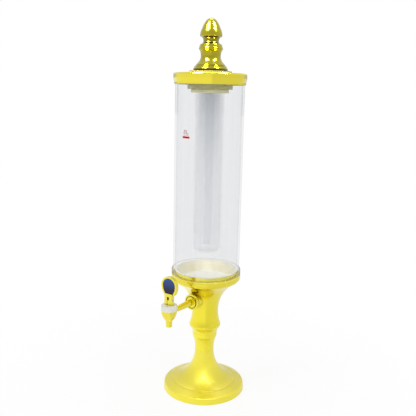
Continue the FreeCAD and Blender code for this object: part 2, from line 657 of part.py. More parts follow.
node("tie_rod_nut", make_rod_nut())
node("mid_stem", turned("mid_stem", [
    ("stem_bore", "base_top_z"),
    ("neck_radius", "base_top_z"),
    ("neck_radius", "base_top_z + neck_lip", "hollow",
     tangent_radius("band_radius - neck_radius", "band_z - base_top_z - neck_lip")),
    ("band_radius", "band_z"),
    ("band_radius", "mid_top_z"),
    ("stem_bore", "mid_top_z"),
]))
node("stem_ring", turned("stem_ring", [
    ("stem_bore", "mid_top_z"),
    ("ring_low_radius", "mid_top_z", "hollow",
     tangent_radius("ring_radius - ring_edge_inset - ring_low_radius", "ring_top_z - ring_edge_height - mid_top_z")),
    ("ring_radius - ring_edge_inset", "ring_top_z - ring_edge_height", "bulge", "ring_edge_bend"),
    ("ring_radius", "ring_top_z"),
    ("stem_bore", "ring_top_z"),
]))
node("stem_plug", ring("stem_plug", "rod_radius + thread_gap", FUNNEL_BORE + " - thread_gap", "ring_top_z", PLUG_TOP))

# ---------------------------------------------------------------- funnel, bowl and drain

CUP_TOP_RADIUS = "tube_radius - tube_wall - spigot_gap - spigot_wall"
SPIGOT_RADIUS = "tube_radius - tube_wall - spigot_gap"
SEAT_RADIUS = "tube_radius - tube_wall + seat_lap"
HOLLOW_RADIUS = "shoulder_radius - hollow_inset"
ELBOW_RADIUS = "shank_radius + elbow_wall"


def make_funnel():
    foot_arc = tangent_radius("ring_radius - foot_inset - waist_radius", "waist_low_z - ring_top_z - foot_edge")
    inner_arc = tangent_radius(HOLLOW_RADIUS + " - hollow_step - (" + FUNNEL_BORE + ")",
                               "ceiling_z - hollow_drop - waist_top_z - bore_rise")
    shell = turned("funnel_shell", [
        (FUNNEL_BORE, "ring_top_z"),
        ("ring_radius", "ring_top_z"),
        ("ring_radius - foot_inset", "ring_top_z + foot_edge", "hollow", foot_arc),
        ("waist_radius", "waist_low_z"),
        ("waist_radius", "waist_top_z", "hollow", "flare_bend"),
        ("shoulder_radius", "flare_top_z"),
        ("shoulder_radius", "shoulder_z"),
        (SEAT_RADIUS, "shoulder_z"),
        (SEAT_RADIUS, "seat_z"),
        (SPIGOT_RADIUS, "seat_z"),
        (SPIGOT_RADIUS, "spigot_top_z"),
        (CUP_TOP_RADIUS, "spigot_top_z"),
        ("cup_floor_radius", "cup_floor_z"),
        (ELBOW_RADIUS + " + elbow_gap", "cup_floor_z"),
        (ELBOW_RADIUS + " + elbow_gap", "ceiling_z"),
        (HOLLOW_RADIUS, "ceiling_z"),
        (HOLLOW_RADIUS + " - hollow_step", "ceiling_z - hollow_drop", "bulge", inner_arc),
        (FUNNEL_BORE, "waist_top_z + bore_rise"),
    ])
    boss = rod("tap_boss", "boss_radius", "boss_inner_reach", "boss_reach", "tap")
    hole = rod("tap_boss_hole", "shank_radius + rod_gap", "0 * tap_z", "boss_reach + overcut", "tap")
    return cut("funnel_body", joined("funnel_with_boss", shell, boss), hole)


def make_elbow():
    """The pipe from the bowl's drain down to the inner end of the tap's shank."""
    bore = "drain_bore + drain_wall + drain_gap"
    socket = "shank_radius + thread_gap"
    end = "boss_inner_reach - tap_nut_thick - end_gap"
    outside = joined(
        "elbow_outside",
        rod("elbow_drop", ELBOW_RADIUS, "tap_z", "cup_floor_z"),
        rod("elbow_shoulder", ELBOW_RADIUS + " + elbow_flange", "ceiling_z - elbow_flange_thick", "ceiling_z"),
        rod("elbow_run", ELBOW_RADIUS, "0 * tap_z", end, "tap"),
        ball("elbow_corner", ELBOW_RADIUS),
    )
    return cut(
        "outlet_elbow", outside,
        rod("elbow_drop_bore", bore, "tap_z", "cup_floor_z + overcut"),
        rod("elbow_run_bore", bore, "0 * tap_z", end, "tap"),
        rod("elbow_socket", socket, "shank_radius", end + " + overcut", "tap"),
        ball("elbow_corner_bore", bore),
    )


def ball(label, radius):
    sphere = doc.addObject("Part::Sphere", label)
    return bind(sphere, Radius=radius, z="tap_z")


node("funnel_body", make_funnel())
node("outlet_elbow", make_elbow())
node("bowl_liner", turned("bowl_liner", [
    ("drain_bore", "cup_floor_z - drain_length"),
    ("drain_bore + drain_wall", "cup_floor_z - drain_length"),
    ("drain_bore + drain_wall", "cup_floor_z"),
    ("cup_floor_radius - liner_gap", "cup_floor_z"),
    (CUP_TOP_RADIUS + " - liner_gap", "spigot_top_z"),
    (CUP_TOP_RADIUS + " - liner_gap - liner_wall", "spigot_top_z"),
    ("cup_floor_radius - liner_gap - liner_wall", "cup_floor_z + liner_wall"),
    ("drain_bore", "cup_floor_z + liner_wall"),
]))
node("collar_ring", turned("collar_ring", [
    (SEAT_RADIUS + " + thread_gap", "shoulder_z"),
    ("collar_low_radius", "shoulder_z", "bulge", "collar_low_bend"),
    ("collar_radius", "shoulder_z + collar_low_height"),
    ("collar_radius", "seat_z - collar_bulge_drop", "bulge", "collar_bend"),
    ("collar_radius - collar_inset", "seat_z + seal_thick"),
    ("tube_radius + seat_gap", "seat_z + seal_thick"),
    ("tube_radius + seat_gap", "seat_z"),
    (SEAT_RADIUS + " + thread_gap", "seat_z"),
]))

# ---------------------------------------------------------------- drink tube

TUBE_BORE = "tube_radius - tube_wall"
TUBE_LOW = "seat_z + seal_thick"

node("tube_gasket", ring("tube_gasket", TUBE_BORE, "tube_radius", "seat_z", TUBE_LOW))
node("spigot_seal", ring("spigot_seal", CUP_TOP_RADIUS + " - liner_gap - liner_wall", TUBE_BORE + " - seat_gap",
                         "spigot_top_z", "spigot_top_z + seal_thick"))
node("clear_tube", ring("clear_tube", TUBE_BORE, "tube_radius", TUBE_LOW, "tube_top_z"))
node("tube_foot_ring", turned("tube_foot_ring", [
    ("tube_radius + glue_gap", TUBE_LOW),
    ("foot_ring_radius", TUBE_LOW),
    ("foot_ring_radius", TUBE_LOW + " + foot_ring_height - edge_round", "bulge", "edge_round"),
    ("foot_ring_radius - edge_round", TUBE_LOW + " + foot_ring_height"),
    ("tube_radius + glue_gap", TUBE_LOW + " + foot_ring_height"),
]))

# ---------------------------------------------------------------- tap

FLANGE_LOW = "boss_reach + tap_washer_thick"
FLANGE_TOP = "boss_reach + tap_washer_thick + flange_thick"
ARM_START = FLANGE_TOP + " + hub_rise + hub_round"
SHANK_HOLE = "shank_radius + thread_gap"
SHANK_END = "shank_radius + end_gap"
BONNET_TOP = "body_top_z + bonnet_height"
WEB_LOW = "body_top_z + bonnet_height - bonnet_web"
SPRING_LOW = "spring_seat_z + spring_collar_thick"
NECK_TOP = "body_top_z + bonnet_neck_height"
NECK_RADIUS = "chamber_radius + bonnet_neck_wall"

node("tap_washer", lay_along_tap(ring("tap_washer", SHANK_HOLE, "boss_radius + tap_washer_lip", "boss_reach",
                                        FLANGE_LOW)))
node("tap_flange", lay_along_tap(turned("tap_flange", [
    (SHANK_HOLE, FLANGE_LOW),
    ("flange_radius", FLANGE_LOW),
    ("flange_radius", FLANGE_TOP + " - flange_round", "bulge", "flange_round"),
    ("flange_radius - flange_round", FLANGE_TOP),
    ("flange_radius - flange_groove_inset", FLANGE_TOP),
    ("flange_radius - flange_groove_inset", FLANGE_TOP + " - flange_groove_depth"),
    ("flange_radius - hub_inset", FLANGE_TOP + " - flange_groove_depth"),
    ("flange_radius - hub_inset", FLANGE_TOP + " + hub_rise", "bulge", "hub_round"),
    ("flange_radius - hub_inset - hub_round", ARM_START),
    (SHANK_HOLE, ARM_START),
])))


def make_tap_nut():
    blank = lay_along_tap(hexagon("tap_nut_blank", "tap_nut_flats", "tap_nut_thick"))
    bind(blank, y="-(boss_inner_reach - tap_nut_thick)")
    hole = rod("tap_nut_hole", SHANK_HOLE, "0 * tap_z", "boss_inner_reach", "tap")
    return cut("tap_nut", blank, hole)


def make_tap_body():
    """Shank, arm, bell and nozzle in one casting, bored through to the valve's chamber."""
    bell = turned("tap_bell", [
        ("drain_bore", "nozzle_z"),
        ("nozzle_radius", "nozzle_z"),
        ("nozzle_radius + nozzle_flare", "bell_z", "bulge", "2 * bell_radius"),
        ("bell_radius", "body_top_z - bell_top_height"),
        ("bell_radius", "body_top_z"),
        (NECK_RADIUS, "body_top_z"),
        (NECK_RADIUS, NECK_TOP),
        ("chamber_radius", NECK_TOP),
        ("chamber_radius", "bell_z + chamber_rise"),
        ("chamber_radius - chamber_step", "bell_z + chamber_low"),
        ("drain_bore + valve_seat_flare", "bell_z + valve_seat_top"),
        ("drain_bore", "bell_z + valve_seat_low"),
    ])
    bind(bell, y="-spout_reach")
    arm = doc.addObject("Part::Cone", "tap_arm")
    arm.Placement = FreeCAD.Placement(FreeCAD.Vector(), FreeCAD.Rotation(FreeCAD.Vector(1, 0, 0), 90))
    bind(arm, Radius1="arm_root_radius", Radius2="arm_tip_radius", y="-(" + ARM_START + ")", z="tap_z",
         Height="spout_reach - chamber_radius - arm_end_gap - (" + ARM_START + ")")
    shank = rod("tap_shank", "shank_radius", SHANK_END, ARM_START, "tap")
    bore = rod("tap_bore", "arm_bore", "0 * tap_z", "spout_reach - bore_end", "tap")
    return cut("tap_body", joined("tap_casting", bell, arm, shank), bore)


def make_valve_stem():
    """Round stem with the spring's collar below and the handle's tongue on top."""
    stem = turned("stem_round", [
        ("0", "bell_z + stem_foot"),
        ("stem_radius", "bell_z + stem_foot"),
        ("stem_radius", "spring_seat_z"),
        ("spring_radius + spring_collar_lip", "spring_seat_z"),
        ("spring_radius + spring_collar_lip", SPRING_LOW),
        ("stem_radius", SPRING_LOW),
        ("stem_radius", BONNET_TOP + " + stem_shoulder"),
        ("0", BONNET_TOP + " + stem_shoulder"),
    ])
    bind(stem, y="-spout_reach")
    width = "(slot_width - 2 * tongue_gap)"
    foot = BONNET_TOP + " + tongue_root"
    tongue = box("stem_tongue", width, "tongue_depth", "pivot_z + tongue_top - (" + foot + ")",
                 "-" + width + " / 2", "-spout_reach - tongue_depth / 2", foot)
    eye = pivot_round("stem_eye", "pin_radius", "slot_width")
    return cut("valve_stem", joined("stem_and_tongue", stem, tongue), eye)


def pivot_round(label, radius, length):
    """A cylinder along the handle's pivot, centred on the tap."""
    cylinder = doc.addObject("Part::Cylinder", label)
    cylinder.Placement = FreeCAD.Placement(FreeCAD.Vector(), FreeCAD.Rotation(FreeCAD.Vector(0, 1, 0), 90))
    return bind(cylinder, Radius=radius, Height=length, x="-(%s) / 2" % length, y="-spout_reach", z="pivot_z")


def make_spring():
    """A coiled wire between the stem's collar and the bonnet's web."""
    low = size(SPRING_LOW + " + wire_radius + thread_gap")
    height = size(WEB_LOW + " - wire_radius - thread_gap") - low
    mean = size("spring_radius")
    path = Part.makeHelix(height / SPRING_TURNS, height, mean)
    section = Part.makeCircle(size("wire_radius"), FreeCAD.Vector(mean, 0, 0), FreeCAD.Vector(0, 1, 0))
    spring = doc.addObject("Part::Feature", "valve_spring")
    spring.Shape = Part.Wire(path).makePipeShell([Part.Wire([section])], True, True)
    spring.Placement = FreeCAD.Placement(FreeCAD.Vector(0, -size("spout_reach"), low), FreeCAD.Rotation())
    return spring


node("tap_nut", make_tap_nut())
node("tap_body", make_tap_body())
node("bonnet_ring", bind(turned("bonnet_ring", [
    (NECK_RADIUS + " + bonnet_neck_gap", "body_top_z"),
    ("bonnet_radius", "body_top_z"),
    ("bonnet_radius", BONNET_TOP + " - edge_round", "bulge", "edge_round"),
    ("bonnet_radius - edge_round", BONNET_TOP),
    ("stem_radius + stem_gap", BONNET_TOP),
    ("stem_radius + stem_gap", WEB_LOW),
    ("chamber_radius", WEB_LOW),
    ("chamber_radius", NECK_TOP + " + bonnet_neck_top_gap"),
    (NECK_RADIUS + " + bonnet_neck_gap", NECK_TOP + " + bonnet_neck_top_gap"),
]), y="-spout_reach"))
node("valve_stem", make_valve_stem())
node("seat_cup", bind(turned("seat_cup", [
    ("0", "bell_z + seat_cup_low"),
    ("drain_bore - valve_gap", "bell_z + seat_cup_low"),
    ("drain_bore + seat_cup_flare - valve_gap", "bell_z + valve_seat_top"),
    ("drain_bore + seat_cup_flare - valve_gap", "bell_z + seat_cup_top"),
    ("stem_radius + thread_gap", "bell_z + seat_cup_top"),
    ("stem_radius + thread_gap", "bell_z + stem_foot"),
    ("0", "bell_z + stem_foot"),
]), y="-spout_reach"))
node("valve_spring", make_spring())

# ---------------------------------------------------------------- handle

FORK_LOW = BONNET_TOP + " + heel_gap"
FORK_TOP = "paddle_foot_z + fork_lap"
HANDLE_FRONT = "-spout_reach - fork_depth / 2"
PADDLE_FRONT = HANDLE_FRONT + " + paddle_set"


def paddle_outline(inset):
    """A round head that narrows to a flat foot, drawn that far inside the paddle's edge."""
    half = "paddle_half - " + inset
    foot_half = "paddle_foot_half - " + inset
    foot_z = "paddle_foot_z + 0.5 * " + inset
    side = tangent_radius("paddle_half - paddle_foot_half", "paddle_z - (" + foot_z + ")")
    return [
        ("-(" + foot_half + ")", foot_z),
        (foot_half, foot_z, "bulge", side),
        (half, "paddle_z", "bulge", half),
        ("0", "paddle_z + " + half, "bulge", half),
        ("-(" + half + ")", "paddle_z", "bulge", side),
    ]


def make_handle():
    paddle = padded("paddle", paddle_outline("0 * paddle_rim"), PADDLE_FRONT, "paddle_thick")
    recess = padded("paddle_recess", paddle_outline("paddle_rim"), PADDLE_FRONT + " - overcut",
                    "inlay_thick + overcut")
    fork = box("fork", "fork_width", "fork_depth", FORK_TOP + " - (" + FORK_LOW + ")",
               "-fork_width / 2", HANDLE_FRONT, FORK_LOW)
    shoulder = doc.addObject("Part::Wedge", "fork_shoulder")
    shoulder.Placement = FreeCAD.Placement(FreeCAD.Vector(), FreeCAD.Rotation(FreeCAD.Vector(1, 0, 0), 90))
    back = "spout_reach - fork_depth / 2"
    bind(shoulder, Xmin="-fork_width / 2", X2min="-fork_width / 2", Xmax="fork_width / 2", X2max="fork_width / 2",
         Ymin=FORK_TOP, Ymax=FORK_TOP + " + fork_shoulder", Zmin=back, Z2min=back,
         Zmax="spout_reach + fork_depth / 2", Z2max="spout_reach + fork_depth / 2 - paddle_set")
    slot_foot = FORK_LOW + " - overcut"
    slot = box("fork_slot", "slot_width", "fork_depth + 2 * overcut", "pivot_z + slot_top - (" + slot_foot + ")",
               "-slot_width / 2", HANDLE_FRONT + " - overcut", slot_foot)
    eye = pivot_round("fork_eye", "pin_radius + pin_gap", "fork_width + 2 * overcut")
    return cut("tap_handle", joined("paddle_and_fork", paddle, fork, shoulder), recess, slot, eye)


node("tap_handle", make_handle())
node("handle_inlay", padded("handle_inlay", paddle_outline("(paddle_rim + inlay_gap)"),
                            PADDLE_FRONT + " + inlay_bed", "inlay_thick - inlay_bed"))
node("handle_pin", pivot_round("handle_pin", "pin_radius", "fork_width - 2 * pin_inset"))

# ---------------------------------------------------------------- lid

GASKET_TOP = "tube_top_z + gasket_thick"
STUD_HOLE = "stud_radius + stud_gap"
WEB_Z = GASKET_TOP + " - lid_plug_web"

node("lid_shell", turned("lid_shell", [
    ("tube_radius + lid_gap", "lid_z"),
    ("lid_low_radius", "lid_z"),
    ("lid_low_radius + lid_edge_flare", "lid_z + lid_edge_height"),
    ("lid_radius", "lid_top_z - lid_crown_drop"),
    ("lid_radius", "lid_top_z - lid_round", "bulge", "lid_round"),
    ("lid_radius - lid_round", "lid_top_z"),
    (STUD_HOLE, "lid_top_z"),
    (STUD_HOLE, GASKET_TOP),
    ("tube_radius + lid_gap", GASKET_TOP),
]))
node("lid_gasket", ring("lid_gasket", TUBE_BORE + " - gasket_inner_lap", "tube_radius + gasket_outer_lap",
                        "tube_top_z", GASKET_TOP))
node("lid_plug", turned("lid_plug", [
    ("ice_thread_radius + ice_thread_gap", "lid_plug_z"),
    ("lid_plug_radius", "lid_plug_z"),
    ("lid_plug_radius", GASKET_TOP),
    (STUD_HOLE, GASKET_TOP),
    (STUD_HOLE, WEB_Z),
    ("ice_thread_radius + ice_thread_gap", WEB_Z),
]))

# ---------------------------------------------------------------- ice tube

ICE_GASKET_LOW = "lid_plug_z - ice_gasket_thick"
ICE_COLLAR_LOW = ICE_GASKET_LOW + " - ice_collar_height"
ICE_BORE = "ice_radius - ice_wall"
ICE_TOP = "lid_plug_z + ice_thread_length"

node("ice_tube_gasket", ring("ice_tube_gasket", "ice_radius + ice_gasket_gap",
                             "ice_collar_radius - ice_gasket_inset", ICE_GASKET_LOW, "lid_plug_z"))
node("ice_tube_collar", turned("ice_tube_collar", [
    ("ice_radius + glue_gap", ICE_COLLAR_LOW),
    ("ice_collar_radius - ice_collar_round", ICE_COLLAR_LOW, "bulge", "ice_collar_round"),
    ("ice_collar_radius", ICE_COLLAR_LOW + " + ice_collar_round"),
    ("ice_collar_radius", ICE_GASKET_LOW),
    ("ice_radius + glue_gap", ICE_GASKET_LOW),
]))
node("ice_tube", turned("ice_tube", [
    ("0", "ice_z"),
    ("ice_radius - ice_corner", "ice_z", "bulge", "ice_corner"),
    ("ice_radius", "ice_z + ice_corner"),
    ("ice_radius", "lid_plug_z"),
    ("ice_thread_radius", "lid_plug_z"),
    ("ice_thread_radius", ICE_TOP),
    (ICE_BORE, ICE_TOP),
    (ICE_BORE, "ice_z + ice_corner", "hollow", "ice_corner - ice_wall"),
    ("ice_radius - ice_corner", "ice_z + ice_wall"),
    ("0", "ice_z + ice_wall"),
]))

# ---------------------------------------------------------------- finial

STUD_BORE = "stud_radius + thread_gap"
STUD_TOP = "acorn_z + stud_rise"
VASE_ROOT = "foot_radius - vase_root_inset"
VASE_ROOT_Z = "(finial_z + vase_root_height)"
RING_EDGE = "finial_ring - finial_ring_inset"
VASE_TOP_RADIUS = "finial_ring - vase_top_inset"
ACORN_EDGE = "acorn_radius - acorn_edge_inset"
ACORN_CHEEK = "acorn_radius - acorn_cheek_inset"

node("finial_washer", turned("finial_washer", [
    (STUD_HOLE, "lid_top_z"),
    ("finial_washer_radius", "lid_top_z"),
    ("finial_washer_radius", "finial_z - edge_round", "bulge", "edge_round"),
    ("finial_washer_radius - edge_round", "finial_z"),
    (STUD_HOLE, "finial_z"),
]))
node("finial_vase", turned("finial_vase", [
    (STUD_HOLE, "finial_z"),
    ("foot_radius - foot_low_inset", "finial_z", "bulge", "foot_bend"),
    ("foot_radius - foot_bead_inset", "finial_z + foot_bead_height"),
    ("foot_radius - foot_step_inset", "finial_z + foot_step_height"),
    ("foot_radius - foot_groove_inset", "finial_z + foot_groove_height"),
    ("foot_radius - vase_skirt_inset", "finial_z + vase_skirt_height"),
    (VASE_ROOT, VASE_ROOT_Z, "hollow",
     tangent_radius(VASE_ROOT + " - finial_waist", "finial_waist_z - " + VASE_ROOT_Z)),
    ("finial_waist", "finial_waist_z", "hollow",
     tangent_radius(RING_EDGE + " - finial_waist", "finial_ring_z - finial_ring_low - finial_waist_z")),
    (RING_EDGE, "finial_ring_z - finial_ring_low", "bulge", "finial_ring_bend"),
    (RING_EDGE, "finial_ring_z + finial_ring_high"),
    ("finial_ring - vase_bead_inset", "vase_top_z - vase_bead_height", "bulge", "vase_bead_bend"),
    (VASE_TOP_RADIUS, "vase_top_z"),
    (STUD_HOLE, "vase_top_z"),
]))
node("finial_acorn", turned("finial_acorn", [
    (STUD_BORE, "vase_top_z"),
    (VASE_TOP_RADIUS, "vase_top_z", "hollow",
     tangent_radius(VASE_TOP_RADIUS + " - acorn_neck", "acorn_neck_z - vase_top_z")),
    ("acorn_neck", "acorn_neck_z", "hollow",
     tangent_radius(ACORN_EDGE + " - acorn_neck", "acorn_z - acorn_edge_height - acorn_neck_z")),
    (ACORN_EDGE, "acorn_z - acorn_edge_height", "bulge", "acorn_edge_bend"),
    ("acorn_radius", "acorn_z", "bulge", tangent_radius("acorn_cheek_inset", "acorn_cheek_rise")),
    (ACORN_CHEEK, "acorn_z + acorn_cheek_rise", "bulge", "acorn_cheek_bend"),
    (ACORN_CHEEK + " - tip_inset", "tip_z - tip_height", "bulge", "tip_bend"),
    ("tip_end", "tip_z"),
    ("0", "tip_z"),
    ("0", STUD_TOP + " + stud_top_gap"),
    (STUD_BORE, STUD_TOP + " + stud_top_gap"),
]))
node("finial_stud", rod("finial_stud", "stud_radius", WEB_Z + " - stud_nut_thick - stud_tail", STUD_TOP))


def make_stud_nut():
    blank = bind(hexagon("stud_nut_blank", "stud_nut_flats", "stud_nut_thick"), z=WEB_Z + " - stud_nut_thick")
    hole = rod("stud_nut_hole", STUD_BORE, WEB_Z + " - stud_nut_thick", WEB_Z)
    return cut("stud_nut", blank, hole)


node("stud_nut", make_stud_nut())

# ---------------------------------------------------------------- build, check and write

doc.recompute()
for thing in doc.Objects:
    if "Invalid" in thing.State or "Error" in thing.State:
        raise RuntimeError("%s did not build: %s" % (thing.Name, thing.State))
os.makedirs("parts", exist_ok=True)
for thing in nodes:
    if thing.Shape.isNull() or not thing.Shape.isValid():
        raise RuntimeError("%s has no valid shape" % thing.Label)
    print("%-18s solids %d volume %.1f mm3" % (thing.Label, len(thing.Shape.Solids), thing.Shape.Volume))
for thing in nodes:
    thing.Shape.exportStep("parts/%s.step" % thing.Label)
print(len(nodes), "nodes")
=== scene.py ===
import bpy
import bmesh
from math import cos, pi, radians, sin
from mathutils import Matrix, Vector


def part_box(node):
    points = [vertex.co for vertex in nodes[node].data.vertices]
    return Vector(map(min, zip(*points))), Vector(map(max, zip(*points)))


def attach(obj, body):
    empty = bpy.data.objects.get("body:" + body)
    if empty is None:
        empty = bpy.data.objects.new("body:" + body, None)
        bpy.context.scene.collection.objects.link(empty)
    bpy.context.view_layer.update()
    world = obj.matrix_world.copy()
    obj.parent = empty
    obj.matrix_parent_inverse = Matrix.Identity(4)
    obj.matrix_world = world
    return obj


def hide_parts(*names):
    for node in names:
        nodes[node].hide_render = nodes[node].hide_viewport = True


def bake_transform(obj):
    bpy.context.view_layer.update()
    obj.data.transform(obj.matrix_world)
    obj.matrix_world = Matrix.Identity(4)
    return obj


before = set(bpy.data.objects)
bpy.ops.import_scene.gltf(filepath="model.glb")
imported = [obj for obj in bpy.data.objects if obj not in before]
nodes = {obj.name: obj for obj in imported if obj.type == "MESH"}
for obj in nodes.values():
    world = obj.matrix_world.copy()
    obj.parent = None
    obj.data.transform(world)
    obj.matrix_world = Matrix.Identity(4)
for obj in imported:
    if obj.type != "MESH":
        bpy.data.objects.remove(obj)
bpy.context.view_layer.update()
scene = bpy.context.scene
MM = 0.001


def turned_size(node):
    """The radius, bottom and top of a CAD node turned about the tower's axis, in millimetres."""
    lowest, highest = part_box(node)
    return highest[0] / MM, lowest[2] / MM, highest[2] / MM


def top_of(node):
    """The top of a CAD node, in millimetres."""
    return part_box(node)[1][2] / MM


TUBE_RADIUS, TUBE_BOTTOM, TUBE_TOP = turned_size("clear_tube")
COLLAR_TOP = top_of("collar_ring")
STEM_TOP = top_of("valve_stem")


# ---------------------------------------------------------------- camera

# Degrees to the side of the tap, downwards and of roll.
CAMERA_TURN, CAMERA_DOWN, CAMERA_ROLL = 35.0, 11.34, 1.30
# The camera's place in metres, its lens and sensor in millimetres, and the metres between which it sees.
CAMERA_PLACE = Vector((0.5266, -0.7503, 0.4989))
CAMERA_LENS, CAMERA_SENSOR = 49.27, 36
CAMERA_NEAR, CAMERA_FAR = 0.05, 60


def make_camera():
    """The photograph's camera: to one side of the tap, looking a little down, with a slight roll."""
    turn, pitch, roll = radians(CAMERA_TURN), radians(CAMERA_DOWN), radians(CAMERA_ROLL)
    forward = Vector((-sin(turn) * cos(pitch), cos(turn) * cos(pitch), -sin(pitch)))
    level = Vector((cos(turn), sin(turn), 0))
    upright = level.cross(forward)
    side = level * cos(roll) + upright * sin(roll)
    up = upright * cos(roll) - level * sin(roll)
    data = bpy.data.cameras.new("camera")
    data.sensor_width = CAMERA_SENSOR
    data.lens = CAMERA_LENS
    data.clip_start = CAMERA_NEAR
    data.clip_end = CAMERA_FAR
    camera = bpy.data.objects.new("camera", data)
    camera.matrix_world = Matrix((
        (side.x, up.x, -forward.x, CAMERA_PLACE.x),
        (side.y, up.y, -forward.y, CAMERA_PLACE.y),
        (side.z, up.z, -forward.z, CAMERA_PLACE.z),
        (0, 0, 0, 1),
    ))
    scene.collection.objects.link(camera)
    scene.camera = camera


make_camera()


# ---------------------------------------------------------------- shader nodes

WHITE = (1.0, 1.0, 1.0)
# The sockets of a Mix node that mixes colours, and of one that mixes values: first, second, result.
COLOUR_SOCKETS = (6, 7, 2)
VALUE_SOCKETS = (2, 3, 0)
# Blender's noise hardly ever leaves this range.
NOISE_LOW, NOISE_HIGH = 0.3, 0.7
# The roughness at the smoothest and at the roughest spots of a surface, and of steel, as shares of its own.
SMOOTH_SPOT, ROUGH_SPOT = 0.85, 1.2
STEEL_SMOOTH_SPOT, STEEL_ROUGH_SPOT = 0.8, 1.3
BEVEL_SAMPLES, HOLLOW_SAMPLES = 6, 8
# Metres that a bump stands out, on most pieces and on steel.
BUMP_DEPTH, STEEL_DEPTH = 0.0003, 0.0002
# Noise of drawn plastic: its scale round the tube, the share of that along it, and the range that is used.
STREAK_SCALE, STREAK_STRETCH = 170.0, 0.02
STREAK_LOW, STREAK_HIGH = 0.35, 0.65
# The mirror of a polished plastic face.
MIRROR_COLOUR, MIRROR_ROUGH, MIRROR_POWER, MIRROR_LEAST = (0.86, 0.86, 0.87), 0.04, 5.0, 0.035


def shader(name):
    """A new node material, its node tree and its Principled shader."""
    material = bpy.data.materials.new(name)
    material.use_nodes = True
    tree = material.node_tree
    return material, tree, tree.nodes["Principled BSDF"]


def join(tree, value, socket):
    """Set a socket to a number, a direction or a colour, or feed it from another socket."""
    if isinstance(value, bpy.types.NodeSocket):
        tree.links.new(value, socket)
    elif socket.type == "RGBA":
        socket.default_value = (*value, 1.0)
    else:
        socket.default_value = value


def feed(tree, node, **settings):
    """Give a node its settings, each named after a socket, with _ for a space, or after a property."""
    for key, value in settings.items():
        socket = node.inputs.get(key.replace("_", " "))
        if socket is None:
            setattr(node, key, value)
        else:
            join(tree, value, socket)


def add(tree, kind, **settings):
    """A new node with these settings."""
    made = tree.nodes.new("ShaderNode" + kind)
    feed(tree, made, **settings)
    return made


def texture_place(tree):
    """Coordinates in metres in the row frame, which every mesh here is made in."""
    return add(tree, "TexCoord").outputs["Object"]


def height(tree):
    """Metres above the table."""
    return add(tree, "SeparateXYZ", Vector=texture_place(tree)).outputs["Z"]


def noise(tree, scale, detail=3.0, rough=0.5, place=None):
    """Cloudy noise, on the row frame's coordinates unless others are given."""
    place = place or texture_place(tree)
    return add(tree, "TexNoise", Scale=scale, Detail=detail, Roughness=rough, Vector=place).outputs["Fac"]


def spread(tree, source, low, high, from_low=NOISE_LOW, from_high=NOISE_HIGH):
    """A value stretched to another range, and kept inside it."""
    return add(tree, "MapRange", Value=source, From_Min=from_low, From_Max=from_high,
               To_Min=low, To_Max=high).outputs["Result"]


def fade(tree, source, start=NOISE_LOW, end=NOISE_HIGH):
    """Nothing where a value is at its start, rising to one where it is at its end."""
    return spread(tree, source, 0.0, 1.0, start, end)


def calculated(tree, operation, *values, clamp=False):
    """A sum, product, power or the like of numbers and sockets."""
    made = add(tree, "Math", operation=operation, use_clamp=clamp)
    for value, socket in zip(values, made.inputs):
        join(tree, value, socket)
    return made.outputs[0]


def mixture(tree, kind, sockets, factor, first, second):
    """The result of a Mix node."""
    made = add(tree, "Mix", data_type=kind, Factor=factor)
    join(tree, first, made.inputs[sockets[0]])
    join(tree, second, made.inputs[sockets[1]])
    return made.outputs[sockets[2]]


def mixed(tree, factor, first, second):
    """Two colours mixed by a factor."""
    return mixture(tree, "RGBA", COLOUR_SOCKETS, factor, first, second)


def between(tree, factor, first, second):
    """Two values mixed by a factor."""
    return mixture(tree, "FLOAT", VALUE_SOCKETS, factor, first, second)


def layered(tree, factor, first, second):
    """Two shaders mixed by a factor."""
    made = add(tree, "MixShader", Fac=factor)
    tree.links.new(first, made.inputs[1])
    tree.links.new(second, made.inputs[2])
    return made.outputs[0]


def shown(tree, surface):
    """Make a shader the one that the material shows."""
    tree.links.new(surface, tree.nodes["Material Output"].inputs["Surface"])


def ray_is(tree, *kinds):
    """One where the ray that arrives is one of these kinds."""
    path = add(tree, "LightPath")
    total = path.outputs[kinds[0]]
    for kind in kinds[1:]:
        total = calculated(tree, "MAXIMUM", total, path.outputs[kind])
    return total


def along(tree, vector, direction):
    """How far a vector reaches along a direction."""
    made = add(tree, "VectorMath", operation="DOT_PRODUCT")
    join(tree, vector, made.inputs[0])
    join(tree, direction, made.inputs[1])
    return made.outputs["Value"]


def bump(tree, principled, relief, strength, distance=BUMP_DEPTH, edge=0.0):
    """A small bump, on edges rounded by the given radius."""
    made = add(tree, "Bump", Height=relief, Strength=strength, Distance=distance)
    if edge:
        feed(tree, made, Normal=add(tree, "Bevel", samples=BEVEL_SAMPLES, Radius=edge).outputs["Normal"])
    feed(tree, principled, Normal=made.outputs["Normal"])


def painted_shade_mask(tree, distance, alone, shut, open_air):
    """The mask of the painted shade: one in the open, nothing in a groove or corner of about this size, of
    the piece alone or of all.
    """
    made = add(tree, "AmbientOcclusion", samples=HOLLOW_SAMPLES, only_local=alone, Distance=distance)
    return fade(tree, made.outputs["AO"], shut, open_air)


def slanting(tree):
    """Nothing where a surface is seen straight on, one where it is seen edge on."""
    return add(tree, "LayerWeight", Blend=0.5).outputs["Facing"]


def streaks(tree, low, high):
    """A value that varies round a tube but hardly along it, as drawn plastic does."""
    stretched = add(tree, "Mapping", Vector=texture_place(tree), Scale=(1.0, 1.0, STREAK_STRETCH))
    cloud = noise(tree, STREAK_SCALE, place=stretched.outputs["Vector"])
    return spread(tree, cloud, low, high, STREAK_LOW, STREAK_HIGH)


def lit_through(tree, surface, tint):
    """Let lamplight and soft light pass straight through clear plastic, so that what is inside it is lit."""
    passing = add(tree, "BsdfTransparent", Color=tint)
    shown(tree, layered(tree, ray_is(tree, "Is Shadow Ray", "Is Diffuse Ray"), surface, passing.outputs[0]))


